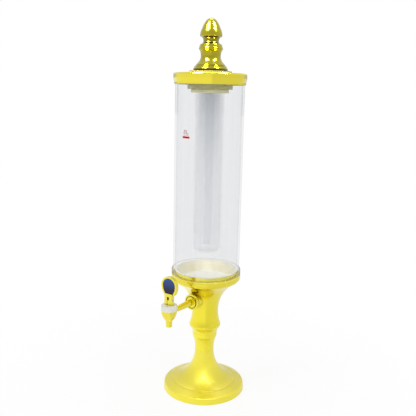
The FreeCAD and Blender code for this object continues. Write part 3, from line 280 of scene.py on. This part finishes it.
def polished_over(tree, beneath, gloss, least=MIRROR_LEAST):
    """Another shader under the faint mirror of a polished plastic face, stronger where it is seen edge on."""
    steep = calculated(tree, "POWER", slanting(tree), MIRROR_POWER)
    mirror = add(tree, "BsdfGlossy", Color=MIRROR_COLOUR, Roughness=MIRROR_ROUGH)
    return layered(tree, spread(tree, steep, least, gloss, 0.0, 1.0), beneath, mirror.outputs[0])


# ---------------------------------------------------------------- materials

# Noise: scales of the clouds of colour, of the marks in the gloss and of the grain of a bump, then its detail
# and its harshness; and how strong the bump is.
GOLD_CLOUDS, PLAIN_CLOUDS, ENAMEL_CLOUDS, FLOOR_CLOUDS = 28.0, 60.0, 160.0, 1.5
MARKS, STEEL_GRAIN, PLAIN_GRAIN, LINER_GRAIN = 240.0, 400.0, 720.0, 700.0
CLOUD_DETAIL, MARK_DETAIL, STEEL_DETAIL = 4.0, 5.0, 6.0
MARK_HARSHNESS, STEEL_HARSHNESS = 0.65, 0.7
PLAIN_RELIEF, STEEL_RELIEF = 0.05, 0.08
# Shares: the lacquer's roughness of the gold's, and steel's darker tone of its own.
LACQUER_SHARE, STEEL_DEEP = 0.7, 0.8
# The bowl's floor, painted whiter than its wall as painted light: metres above the liner's lowest edge, and
# over which it fades.
BOWL_FLOOR_RISE, BOWL_FLOOR_BLUR = 0.0072, 0.0015
# The ice tube's painted shade under the lid: metres above the table from which and up to which it grows, and
# how late.
LID_SHADE_FROM, LID_SHADE_TO, LID_SHADE_POWER = 0.30, 0.51, 2.5
# How slanting the ice tube's wall is where it starts to whiten and where it is whitest.
ICE_RIM_FROM, ICE_RIM_TO = 0.02, 0.6
# Its streaks of haze at their least and most, and its extra haze straight on, in shares, and where that ends.
HAZE_LEAST, HAZE_MOST = 0.5, 1.5
STRAIGHT_HAZE, STRAIGHT_END = 10.0, 0.09
ICE_GLOSS, ICE_LEAST = 0.35, 0.02
# The clear and the milky plastic in lamplight that passes through.
CLEAR_TINT, ICE_TINT = (0.985, 0.985, 0.985), (0.97, 0.97, 0.97)
# The enamel's border: metres above the table, then how far its clouds reach and how low they start.
VIOLET_TO, BLUE_FROM = 0.201, 0.222
CLOUD_REACH, CLOUD_START = 0.25, -0.12


def gold_material(name, colour, deep, shade_colour, rough, edge, lacquer, reach,
                  grain=0.05, metallic=1.0, alone=True, shut=0.35, open_air=0.9):
    """Gold plating under lacquer: a clear yellow with faint polishing marks, and painted shade that turns it
    browner in its grooves and corners.

    edge is the rounding of its edges and reach the size of the grooves and corners that get the painted
    shade, both in metres.
    """
    material, tree, principled = shader(name)
    plate = mixed(tree, fade(tree, noise(tree, GOLD_CLOUDS, CLOUD_DETAIL)), colour, deep)
    marks = noise(tree, MARKS, MARK_DETAIL, MARK_HARSHNESS)
    # Painted shade: in grooves and corners, found by ambient occlusion, the colour turns to the dark shade
    # colour.
    feed(tree, principled,
         Base_Color=mixed(tree, painted_shade_mask(tree, reach, alone, shut, open_air), shade_colour, plate),
         Metallic=metallic,
         Roughness=spread(tree, marks, rough * SMOOTH_SPOT, rough * ROUGH_SPOT),
         Coat_Weight=lacquer,
         Coat_Roughness=rough * LACQUER_SHARE)
    bump(tree, principled, marks, grain, edge=edge)
    return material


def plain_material(name, colour, deep, rough, coat=0.0, specular=0.5):
    """Plastic, rubber or ink with a faint variation in its colour and gloss."""
    material, tree, principled = shader(name)
    feed(tree, principled,
         Base_Color=mixed(tree, fade(tree, noise(tree, PLAIN_CLOUDS, CLOUD_DETAIL)), colour, deep),
         Roughness=spread(tree, noise(tree, MARKS), rough * SMOOTH_SPOT, rough * ROUGH_SPOT),
         Coat_Weight=coat,
         Coat_Roughness=0.06,
         Specular_IOR_Level=specular)
    bump(tree, principled, noise(tree, PLAIN_GRAIN), PLAIN_RELIEF)
    return material


def liner_material(name, wall, wall_deep, floor):
    """Cream plastic, with the bowl's floor painted whiter as painted light."""
    material, tree, principled = shader(name)
    floor_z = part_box("bowl_liner")[0][2] + BOWL_FLOOR_RISE
    side = mixed(tree, fade(tree, noise(tree, PLAIN_CLOUDS, CLOUD_DETAIL)), wall, wall_deep)
    # Painted light: the bowl's floor is painted whiter than its wall.
    feed(tree, principled,
         Base_Color=mixed(tree, fade(tree, height(tree), floor_z, floor_z + BOWL_FLOOR_BLUR), floor, side),
         Roughness=spread(tree, noise(tree, MARKS), low=0.3, high=0.42),
         Specular_IOR_Level=0.35)
    bump(tree, principled, noise(tree, LINER_GRAIN), PLAIN_RELIEF)
    return material


def steel_material(name, colour, rough):
    """Brushed or cast metal with a fine grain."""
    material, tree, principled = shader(name)
    grain = noise(tree, STEEL_GRAIN, STEEL_DETAIL, STEEL_HARSHNESS)
    feed(tree, principled,
         Base_Color=mixed(tree, fade(tree, grain), colour, tuple(part * STEEL_DEEP for part in colour)),
         Metallic=1.0,
         Roughness=spread(tree, grain, rough * STEEL_SMOOTH_SPOT, rough * STEEL_ROUGH_SPOT))
    bump(tree, principled, grain, STEEL_RELIEF, distance=STEEL_DEPTH)
    return material


def clear_material(name, first, second, rim, rim_from, gloss):
    """Clear acrylic, faintly streaked, greyer where its wall is looked along."""
    material, tree, principled = shader(name)
    tree.nodes.remove(principled)
    wall = mixed(tree, streaks(tree, 0.0, 1.0), first, second)
    edge = fade(tree, slanting(tree), rim_from, 1.0)
    pane = add(tree, "BsdfTransparent", Color=mixed(tree, edge, wall, rim))
    lit_through(tree, polished_over(tree, pane.outputs[0], gloss), CLEAR_TINT)
    return material


def frosted_material(name, top, low, rim, milk, haze):
    """Milky acrylic: darker towards its top as painted shade under the lid, whiter where its wall is looked
    along.
    """
    material, tree, principled = shader(name)
    tree.nodes.remove(principled)
    # Painted shade: the wall turns darker towards the top, under the lid.
    lid_shade = calculated(tree, "POWER", fade(tree, height(tree), LID_SHADE_FROM, LID_SHADE_TO), LID_SHADE_POWER)
    wall = mixed(tree, lid_shade, low, top)
    edge = fade(tree, slanting(tree), ICE_RIM_FROM, ICE_RIM_TO)
    pane = add(tree, "BsdfTransparent", Color=mixed(tree, edge, wall, rim))
    outside = add(tree, "BsdfDiffuse", Color=milk)
    through = add(tree, "BsdfTranslucent", Color=milk)
    milky = layered(tree, 0.5, outside.outputs[0], through.outputs[0])
    straight_on = spread(tree, slanting(tree), haze * STRAIGHT_HAZE, 0.0, 0.0, STRAIGHT_END)
    hazy = calculated(tree, "ADD", straight_on, streaks(tree, haze * HAZE_LEAST, haze * HAZE_MOST))
    surface = layered(tree, hazy, pane.outputs[0], milky)
    lit_through(tree, polished_over(tree, surface, ICE_GLOSS, ICE_LEAST), ICE_TINT)
    return material


def inlay_material(name, violet, blue):
    """Domed enamel, violet below and blue above with a cloudy border, under a clear coat."""
    material, tree, principled = shader(name)
    cloud = calculated(tree, "MULTIPLY_ADD", noise(tree, ENAMEL_CLOUDS), CLOUD_REACH, CLOUD_START)
    border = calculated(tree, "ADD", fade(tree, height(tree), VIOLET_TO, BLUE_FROM), cloud, clamp=True)
    feed(tree, principled,
         Base_Color=mixed(tree, border, violet, blue),
         Roughness=0.4,
         Specular_IOR_Level=0.3,
         Coat_Weight=0.25,
         Coat_Roughness=0.05)
    return material


def toned(material, start, end, lower=None, upper=None):
    """Give a material another colour below or above, changing between two heights in millimetres."""
    tree = material.node_tree
    base = tree.nodes["Principled BSDF"].inputs["Base Color"]
    own = base.links[0].from_socket
    share = fade(tree, height(tree), start * MM, end * MM)
    join(tree, mixed(tree, share, lower or own, upper or own), base)


# Each gold below has, after its deep colour, the colour of the painted shade in its grooves and corners.
# Heights in millimetres on the base: the top of its upright edge, and its cone.
FOOT_EDGE, FOOT_CONE = (9.5, 11.0), (22.0, 45.0)
# Painted light: the foot's upright edge and the cone above are painted a brighter yellow than its flat.
SATIN = gold_material(
    "satin_gold", (0.76, 0.665, 0.035), (0.73, 0.63, 0.032), (0.55, 0.41, 0.008),
    rough=0.42, edge=0.0006, lacquer=0.9, reach=0.006, metallic=0.65)
toned(SATIN, *FOOT_EDGE, lower=(0.93, 0.82, 0.04))
toned(SATIN, *FOOT_CONE, upper=(0.93, 0.82, 0.05))
STEM = gold_material(
    "stem_gold", (0.97, 0.86, 0.05), (0.95, 0.83, 0.045), (0.60, 0.45, 0.01),
    rough=0.30, edge=0.0006, lacquer=0.5, reach=0.006, metallic=0.8)
# Painted light: inside the clear foot of the tube the gold is painted brighter, on the spigot and on the
# collar's top.
SMOOTH = gold_material(
    "smooth_gold", (0.92, 0.80, 0.045), (0.90, 0.775, 0.04), (0.45, 0.32, 0.006),
    rough=0.19, edge=0.0006, lacquer=0.4, reach=0.010)
toned(SMOOTH, COLLAR_TOP - 0.2, COLLAR_TOP + 0.2, upper=(1.0, 0.90, 0.05))
BAND = gold_material(
    "band_gold", (0.84, 0.725, 0.045), (0.82, 0.705, 0.04), (0.50, 0.37, 0.008),
    rough=0.16, edge=0.0005, lacquer=0.4, reach=0.004, grain=0.02, metallic=0.65)
# Painted light: the collar's top edge is painted a brighter yellow.
toned(BAND, COLLAR_TOP - 1.1, COLLAR_TOP - 0.3, upper=(1.0, 0.92, 0.10))
LID = gold_material(
    "lid_gold", (0.85, 0.73, 0.05), (0.83, 0.71, 0.045), (0.50, 0.37, 0.008),
    rough=0.12, edge=0.0005, lacquer=0.4, reach=0.004, grain=0.01)
POLISHED = gold_material(
    "polished_gold", (0.47, 0.405, 0.004), (0.43, 0.37, 0.003), (0.03, 0.017, 0.001),
    rough=0.15, edge=0.0004, lacquer=0.6, reach=0.012, grain=0.0, alone=False, shut=0.60, open_air=0.96)
TAP_GOLD = dict(
    colour=(0.88, 0.77, 0.07), deep=(0.85, 0.735, 0.06), shade_colour=(0.30, 0.20, 0.006),
    rough=0.13, edge=0.0004, lacquer=0.4, reach=0.003, grain=0.04)
BRIGHT = gold_material("bright_gold", **TAP_GOLD)
# Painted shade: the valve stem's end inside the handle's fork is painted near black, where the fork's slot is
# in shade.
SHADED_STEM_TIP = gold_material("stem_tip_painted_shade", **TAP_GOLD)
toned(SHADED_STEM_TIP, STEM_TOP - 4.3, STEM_TOP - 2.8, upper=(0.03, 0.022, 0.012))
STEEL = steel_material("brushed_steel", (0.60, 0.60, 0.61), 0.32)
IRON = steel_material("cast_iron", (0.11, 0.11, 0.115), 0.6)

CLEAR = clear_material(
    "clear_acrylic", (0.948, 0.950, 0.955), (0.960, 0.962, 0.965),
    rim=(0.88, 0.885, 0.89), rim_from=0.84, gloss=0.40)
RIM = clear_material(
    "clear_rim", (0.985, 0.985, 0.985), (0.99, 0.99, 0.99),
    rim=(0.16, 0.16, 0.14), rim_from=0.60, gloss=0.25)
ICE = frosted_material(
    "ice_acrylic", top=(0.835, 0.843, 0.857), low=(0.990, 0.994, 0.999), rim=(0.995, 0.995, 0.995),
    milk=(0.92, 0.94, 0.96), haze=0.009)
ENAMEL = inlay_material("enamel", violet=(0.010, 0.005, 0.034), blue=(0.016, 0.085, 0.36))

CREAM = liner_material("cream_plastic", (0.90, 0.86, 0.66), (0.87, 0.83, 0.63), floor=(0.985, 0.985, 0.91))
OLIVE = plain_material("olive_plastic", (0.54, 0.51, 0.14), (0.46, 0.43, 0.10), 0.22, coat=0.6)
PALE_OLIVE = plain_material("pale_olive_plastic", (0.74, 0.70, 0.38), (0.66, 0.62, 0.32), 0.20, coat=0.9)
PEARL = plain_material("pearl_plastic", (0.76, 0.75, 0.69), (0.66, 0.65, 0.58), 0.25, coat=0.5)
IVORY = plain_material("ivory_plastic", (0.42, 0.38, 0.17), (0.39, 0.35, 0.15), 0.6, specular=0.0)
HONEY = plain_material("honey_silicone", (0.80, 0.68, 0.12), (0.76, 0.63, 0.09), 0.4)
PALE_SILICONE = plain_material("pale_silicone", (0.93, 0.92, 0.85), (0.90, 0.89, 0.82), 0.5)
SILICONE = plain_material("grey_silicone", (0.60, 0.59, 0.52), (0.55, 0.54, 0.48), 0.5)
RUBBER = plain_material("black_rubber", (0.018, 0.018, 0.018), (0.03, 0.03, 0.03), 0.6)
RED = plain_material("red_ink", (0.58, 0.002, 0.012), (0.54, 0.002, 0.01), 0.5, specular=0.1)
PINK = plain_material("faded_ink", (0.34, 0.05, 0.07), (0.31, 0.045, 0.06), 0.5, specular=0.1)

FINISHES = {
    SATIN: ["base_shell"],
    STEM: ["mid_stem", "stem_ring"],
    SMOOTH: ["funnel_body"],
    BAND: ["collar_ring"],
    LID: ["lid_shell"],
    OLIVE: ["lid_plug"],
    PALE_OLIVE: ["ice_tube_collar"],
    POLISHED: ["finial_vase", "finial_acorn"],
    BRIGHT: ["tap_flange", "tap_body", "tap_handle"],
    SHADED_STEM_TIP: ["valve_stem"],
    CLEAR: ["clear_tube"],
    RIM: ["tube_foot_ring"],
    ICE: ["ice_tube"],
    CREAM: ["bowl_liner"],
    PEARL: ["bonnet_ring"],
    IVORY: ["finial_washer"],
    HONEY: ["tube_gasket"],
    PALE_SILICONE: ["spigot_seal"],
    SILICONE: ["outlet_elbow", "seat_cup", "lid_gasket", "ice_tube_gasket"],
    RUBBER: ["non_slip_pad", "tap_washer"],
    STEEL: ["base_plate", "base_plate_screws", "tie_rod", "tie_rod_washer", "tie_rod_nut", "stem_plug",
            "tap_nut", "valve_spring", "handle_pin", "finial_stud", "stud_nut"],
    IRON: ["base_ballast"],
    ENAMEL: ["handle_inlay"],
}

for material, names in FINISHES.items():
    for name in names:
        mesh = nodes[name].data
        mesh.materials.clear()
        mesh.materials.append(material)


# ---------------------------------------------------------------- meshes

# Steps round a turned piece and round a rounded corner of its outline.
TURN_STEPS, CORNER_STEPS = 256, 5
# The longest part of an outline's edge that a rounded corner takes.
CORNER_SHARE = 0.49
# How far large faces outweigh small ones in the normals, in Blender's own measure.
FLAT_WEIGHT = 80


def rounded(corners):
    """Outline points from corners of radius, height and, where it is rounded, rounding, in millimetres."""
    points = []
    count = len(corners)
    for index, corner in enumerate(corners):
        here = Vector(corner[:2])
        if len(corner) < 3:
            points.append(here)
            continue
        before = Vector(corners[index - 1][:2]) - here
        after = Vector(corners[(index + 1) % count][:2]) - here
        reach = min(corner[2], before.length * CORNER_SHARE, after.length * CORNER_SHARE)
        start = here + before.normalized() * reach
        end = here + after.normalized() * reach
        for step in range(CORNER_STEPS + 1):
            t = step / CORNER_STEPS
            points.append(start * (1 - t) ** 2 + here * 2 * t * (1 - t) + end * t ** 2)
    return points


def skin(made, rings):
    """Faces from each ring of vertices to the next."""
    for low, high in zip(rings, rings[1:]):
        count = len(low)
        for k in range(count):
            after = (k + 1) % count
            made.faces.new((low[k], low[after], high[after], high[k]))


def finished(name, made, material):
    """An object from a bmesh, smooth, with normals weighted so that flats stay flat."""
    mesh = bpy.data.meshes.new(name)
    made.to_mesh(mesh)
    made.free()
    mesh.shade_smooth()
    mesh.materials.append(material)
    piece = bpy.data.objects.new(name, mesh)
    scene.collection.objects.link(piece)
    weighted = piece.modifiers.new("flats", "WEIGHTED_NORMAL")
    weighted.weight = FLAT_WEIGHT
    return piece


def lathe(name, corners, material, closed=True):
    """An outline of radius against height turned once round the tower's axis."""
    made = bmesh.new()
    turns = [2 * pi * k / TURN_STEPS for k in range(TURN_STEPS)]
    rings = []
    for radius, level in rounded(corners):
        rings.append([
            made.verts.new((radius * MM * cos(turn), radius * MM * sin(turn), level * MM)) for turn in turns
        ])
    skin(made, rings + rings[:1] if closed else rings)
    bmesh.ops.recalc_face_normals(made, faces=made.faces)
    return finished(name, made, material)


# ---------------------------------------------------------------- tubes

# Millimetres. A gap keeps the foot of the tube and of its band clear of what they stand on.
TUBE_WALL, TUBE_FOOT_GAP = 3.0, 0.06
BAND_FOOT_GAP, BAND_ROUNDING = 0.1, 0.8
ICE_RADIUS, ICE_WALL = 23.0, 2.0
# Rounding of the ice tube's foot outside and inside, and the height of its thicker thread.
ICE_FOOT_OUTSIDE, ICE_FOOT_INSIDE = 10.0, 8.0
ICE_THREAD = 11.6
# The radius of the hole left at the axis, so that no two vertices meet there.
ICE_MIDDLE = 0.02
# Rounding of the tube's foot and the thread's step, and of the two rims.
STEP_ROUNDING, RIM_ROUNDING = 0.3, 0.4


def make_tubes():
    """The drink tube, the clear band round its foot and the ice tube, smooth all round."""
    bore = TUBE_RADIUS - TUBE_WALL
    foot = TUBE_BOTTOM + TUBE_FOOT_GAP
    tube = lathe("drink_tube", [
        (bore, foot, STEP_ROUNDING),
        (TUBE_RADIUS, foot, STEP_ROUNDING),
        (TUBE_RADIUS, TUBE_TOP, RIM_ROUNDING),
        (bore, TUBE_TOP, RIM_ROUNDING),
    ], CLEAR)
    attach(tube, "tower")
    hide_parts("clear_tube")

    radius, bottom, top = turned_size("tube_foot_ring")
    band = lathe("foot_band", [
        (radius, bottom + BAND_FOOT_GAP),
        (radius, top, BAND_ROUNDING),
        (TUBE_RADIUS, top),
    ], RIM, closed=False)
    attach(band, "tower")
    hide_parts("tube_foot_ring")

    thread_radius, bottom, top = turned_size("ice_tube")
    thread = top - ICE_THREAD
    ice = lathe("ice_bottle", [
        (ICE_MIDDLE, bottom),
        (ICE_RADIUS, bottom, ICE_FOOT_OUTSIDE),
        (ICE_RADIUS, thread, STEP_ROUNDING),
        (thread_radius, thread, STEP_ROUNDING),
        (thread_radius, top, RIM_ROUNDING),
        (ICE_RADIUS - ICE_WALL, top, RIM_ROUNDING),
        (ICE_RADIUS - ICE_WALL, bottom + ICE_WALL, ICE_FOOT_INSIDE),
        (ICE_MIDDLE, bottom + ICE_WALL),
    ], ICE)
    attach(ice, "ice_unit")
    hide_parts("ice_tube")


make_tubes()


# ---------------------------------------------------------------- valve spring

# The wire's radius in millimetres.
WIRE_RADIUS, WIRE_SIDES = 0.45, 12
SPRING_TURNS, SPRING_STEPS = 5, 160


def make_spring():
    """The valve spring's coil, made at the length of the CAD part; the real spring shortens between the
    lifting stem and the bonnet.
    """
    (x0, y0, z0), (x1, y1, z1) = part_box("valve_spring")
    wire = WIRE_RADIUS * MM
    mean = (x1 - x0) / 2 - wire
    low, high = z0 + wire, z1 - wire
    middle = Vector(((x0 + x1) / 2, (y0 + y1) / 2, 0))
    up = Vector((0, 0, 1))
    sides = [2 * pi * k / WIRE_SIDES for k in range(WIRE_SIDES)]
    made = bmesh.new()
    rings = []
    for step in range(SPRING_STEPS + 1):
        share = step / SPRING_STEPS
        turn = 2 * pi * SPRING_TURNS * share
        out = Vector((cos(turn), sin(turn), 0))
        centre = Vector((middle.x, middle.y, low + (high - low) * share)) + out * mean
        rings.append([made.verts.new(centre + (out * cos(side) + up * sin(side)) * wire) for side in sides])
    skin(made, rings)
    made.faces.new(rings[0])
    made.faces.new(list(reversed(rings[-1])))
    bmesh.ops.recalc_face_normals(made, faces=made.faces)
    spring = finished("spring_coil", made, STEEL)
    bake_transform(spring)
    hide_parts("valve_spring")


make_spring()


# ---------------------------------------------------------------- graduation

# Millimetres, but for the way to the marks, which is in degrees round the tower from the X axis.
MARK_WAY, MARK_LEVEL, MARK_RADIUS = -94.8, 432.8, TUBE_RADIUS + 0.06
BAR_WIDTH, BAR_HEIGHT, BAR_PIECES = 14.0, 3.2, 10
STROKE = 0.9
LETTER_FOOT, LETTER_WAIST, LETTER_TOP = 5.0, 7.5, 10.9
TWO_LEFT, TWO_RIGHT = -5.0, -1.0
LITRE_LEFT, LITRE_RIGHT = 1.0, 4.8
TICKS, TICK_PITCH, TICK_WIDTH = 5, 2.0, 0.8
TICK_FOOT, TICK_TOP = 2.6, 4.0


def wrapped(name, outlines, material):
    """Flat outlines in millimetres, across and up, laid on the tube round the middle of the marks."""
    made = bmesh.new()
    for outline in outlines:
        corners = []
        for x, y in outline:
            angle = radians(MARK_WAY) + x / MARK_RADIUS
            reach = MARK_RADIUS * MM
            corners.append(made.verts.new((reach * cos(angle), reach * sin(angle), (MARK_LEVEL + y) * MM)))
        made.faces.new(corners)
    mark = finished(name, made, material)
    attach(mark, "tower")


def strip(x0, y0, x1, y1, pieces=6):
    """A rectangle as a row of narrow ones, so that it follows the tube."""
    width = (x1 - x0) / pieces
    edges = [x0 + k * width for k in range(pieces + 1)]
    return [[(left, y0), (right, y0), (right, y1), (left, y1)] for left, right in zip(edges, edges[1:])]


def make_graduation():
    """A plain red bar with a row of ticks and a generic two-litre mark above it."""
    across, up = BAR_WIDTH / 2, BAR_HEIGHT / 2
    wrapped("level_bar", strip(-across, -up, across, up, BAR_PIECES), RED)
    two = strip(TWO_LEFT, LETTER_TOP - STROKE, TWO_RIGHT, LETTER_TOP)
    two += strip(TWO_RIGHT - STROKE, LETTER_WAIST + STROKE, TWO_RIGHT, LETTER_TOP - STROKE, 2)
    two += strip(TWO_LEFT, LETTER_WAIST, TWO_RIGHT, LETTER_WAIST + STROKE)
    two += strip(TWO_LEFT, LETTER_FOOT + STROKE, TWO_LEFT + STROKE, LETTER_WAIST, 2)
    two += strip(TWO_LEFT, LETTER_FOOT, TWO_RIGHT, LETTER_FOOT + STROKE)
    litre = strip(LITRE_LEFT, LETTER_FOOT, LITRE_LEFT + STROKE, LETTER_TOP, 2)
    litre += strip(LITRE_LEFT + STROKE, LETTER_FOOT, LITRE_RIGHT, LETTER_FOOT + STROKE)
    ticks = []
    for k in range(TICKS):
        middle = (k - (TICKS - 1) / 2) * TICK_PITCH
        ticks += strip(middle - TICK_WIDTH / 2, TICK_FOOT, middle + TICK_WIDTH / 2, TICK_TOP, 1)
    wrapped("level_text", two + litre + ticks, PINK)


make_graduation()


# ---------------------------------------------------------------- stage and light

# The way to the camera, in degrees round the tower from the X axis.
CAMERA_WAY = -54.9
# The world's strength on matt surfaces.
SOFT_LIGHT = 0.72
# The share of plain white in the floor near the tower, and in the floor that shiny pieces mirror.
NEAR_WHITE, MIRRORED_WHITE = 0.88, 0.98
# Metres from the axis at which the floor starts to fade to plain white and at which it has.
FADE_START, FADE_END = 0.10, 0.45
# Half the floor's width in metres, and its matt colours.
FLOOR_REACH = 12.0
FLOOR_GREY, FLOOR_PALE = (0.86, 0.86, 0.86), (0.88, 0.88, 0.88)
# The mirrored floor and room are brighter to the left of the camera's view than to its right. The step is
# turned by some degrees, and is this soft either way, in metres on the floor and as a cosine in the room.
FLOOR_LEFT, FLOOR_RIGHT = 1.02, 0.84
ROOM_LEFT, ROOM_RIGHT = 0.97, 0.81
STEP_TURN, STEP_SOFT = 5.0, 0.05
# The mirrored room behind the tower, high up, and high up behind the camera.
ROOM_BACK, ROOM_HIGH, ROOM_BEHIND_CAMERA = 0.50, 0.88, 0.74
# Cosines between which those come in: from the camera's way, from it again, and from straight up.
BACK_FADE, BEHIND_FADE, HIGH_FADE = (-0.5, -0.95), (0.3, 0.95), (0.06, 0.22)
# The mirrored room's lit panel: degrees round from the camera, degrees up, half width, soft edge, strength.
PANEL_TURN, PANEL_RISE, PANEL_HALF_WIDTH, PANEL_SOFT, PANEL_STRENGTH = 180.0, 64.0, 10.0, 10.0, 3.4
# Lamps: name, place, aim, width and height, power.
LAMPS = [
    ("key", (-0.9, -1.6, 1.6), (0, 0, 0.3), (1.0, 1.4), 16),
    ("fill", (1.8, -0.6, 1.3), (0, 0, 0.3), (0.9, 1.5), 9),
]
# Soft boxes, which only show as highlights: one high on either side of the finial, one over the foot.
# Name, height aimed at, degrees round from the camera, degrees up, distance, width and height, power.
SOFT_BOXES = [
    ("left_box", 0.575, -52.0, 52.0, 0.42, (0.15, 0.20), 0.60),
    ("right_box", 0.575, 60.0, 52.0, 0.42, (0.10, 0.20), 0.33),
    ("foot_box", 0.03, 0.0, 60.0, 0.85, (0.20, 0.16), 0.13),
]
# The angle that a soft box shines into, in degrees.
BOX_SPREAD = 48.0


def way_to(turn, rise):
    """A direction, degrees round from the camera's and degrees up."""
    turn, rise = radians(CAMERA_WAY + turn), radians(rise)
    return (cos(turn) * cos(rise), sin(turn) * cos(rise), sin(rise))


def floor_material():
    """Pale near the tower, so that its shadow shows, and plain white further off."""
    material, tree, principled = shader("floor_white")
    feed(tree, principled,
         Base_Color=mixed(tree, noise(tree, FLOOR_CLOUDS, detail=2.0), FLOOR_GREY, FLOOR_PALE),
         Roughness=0.9,
         Specular_IOR_Level=0.1)
    glossy = ray_is(tree, "Is Glossy Ray")
    aside = along(tree, texture_place(tree), way_to(90 + STEP_TURN, 0))
    mirrored = spread(tree, aside, FLOOR_LEFT, FLOOR_RIGHT, -STEP_SOFT, STEP_SOFT)
    white = add(tree, "Emission", Color=WHITE, Strength=between(tree, glossy, 1.0, mirrored))
    away = add(tree, "VectorMath", operation="LENGTH", Vector=texture_place(tree)).outputs["Value"]
    plain = spread(tree, away, NEAR_WHITE, 1.0, FADE_START, FADE_END)
    seen = ray_is(tree, "Is Camera Ray", "Is Transmission Ray")
    seen = calculated(tree, "MULTIPLY_ADD", glossy, MIRRORED_WHITE, seen)
    share = calculated(tree, "MULTIPLY", plain, seen)
    shown(tree, layered(tree, share, principled.outputs[0], white.outputs[0]))
    return material


def make_floor():
    """A wide pale floor that keeps the shadow near the tower."""
    made = bmesh.new()
    corners = ((-1, -1), (1, -1), (1, 1), (-1, 1))
    made.faces.new([made.verts.new((x * FLOOR_REACH, y * FLOOR_REACH, 0)) for x, y in corners])
    mesh = bpy.data.meshes.new("floor")
    made.to_mesh(mesh)
    made.free()
    mesh.materials.append(floor_material())
    floor = bpy.data.objects.new("floor", mesh)
    scene.collection.objects.link(floor)


def make_world():
    """White where the camera sees it, a soft studio round the shiny pieces, a plain light on the rest."""
    world = bpy.data.worlds.new("studio")
    world.use_nodes = True
    scene.world = world
    tree = world.node_tree
    way = add(tree, "TexCoord").outputs["Generated"]
    ahead = along(tree, way, way_to(0, 0))
    aside = along(tree, way, way_to(90 + STEP_TURN, 0))
    up = along(tree, way, (0.0, 0.0, 1.0))
    low = between(tree, fade(tree, aside, -STEP_SOFT, STEP_SOFT), ROOM_LEFT, ROOM_RIGHT)
    low = between(tree, fade(tree, ahead, *BACK_FADE), low, ROOM_BACK)
    high = between(tree, fade(tree, ahead, *BEHIND_FADE), ROOM_HIGH, ROOM_BEHIND_CAMERA)
    room = between(tree, fade(tree, up, *HIGH_FADE), low, high)
    edge = cos(radians(PANEL_HALF_WIDTH + PANEL_SOFT))
    panel = fade(tree, along(tree, way, way_to(PANEL_TURN, PANEL_RISE)), edge, cos(radians(PANEL_HALF_WIDTH)))
    room = between(tree, panel, room, PANEL_STRENGTH)
    seen = ray_is(tree, "Is Camera Ray", "Is Transmission Ray")
    plain = between(tree, seen, SOFT_LIGHT, 1.0)
    strength = between(tree, ray_is(tree, "Is Glossy Ray"), plain, room)
    feed(tree, tree.nodes["Background"], Color=WHITE, Strength=strength)


def make_lamp(name, place, aim, size, power, mirrored=False):
    """An area lamp that lights matt surfaces, or one that only shows as a highlight on shiny ones."""
    data = bpy.data.lights.new(name, "AREA")
    data.shape = "RECTANGLE"
    data.size, data.size_y = size
    data.energy = power
    lamp = bpy.data.objects.new(name, data)
    lamp.location = place
    lamp.rotation_euler = (Vector(aim) - Vector(place)).to_track_quat("-Z", "Y").to_euler()
    scene.collection.objects.link(lamp)
    lamp.visible_glossy = mirrored
    lamp.visible_diffuse = not mirrored
    if mirrored:
        data.spread = radians(BOX_SPREAD)


def make_lamps():
    """The soft boxes and the two lamps."""
    for name, level, turn, rise, distance, size, power in SOFT_BOXES:
        aim = Vector((0.0, 0.0, level))
        make_lamp(name, aim + Vector(way_to(turn, rise)) * distance, aim, size, power, mirrored=True)
    for name, place, aim, size, power in LAMPS:
        make_lamp(name, place, aim, size, power)


make_floor()
make_world()
make_lamps()
scene.view_settings.view_transform = "Standard"
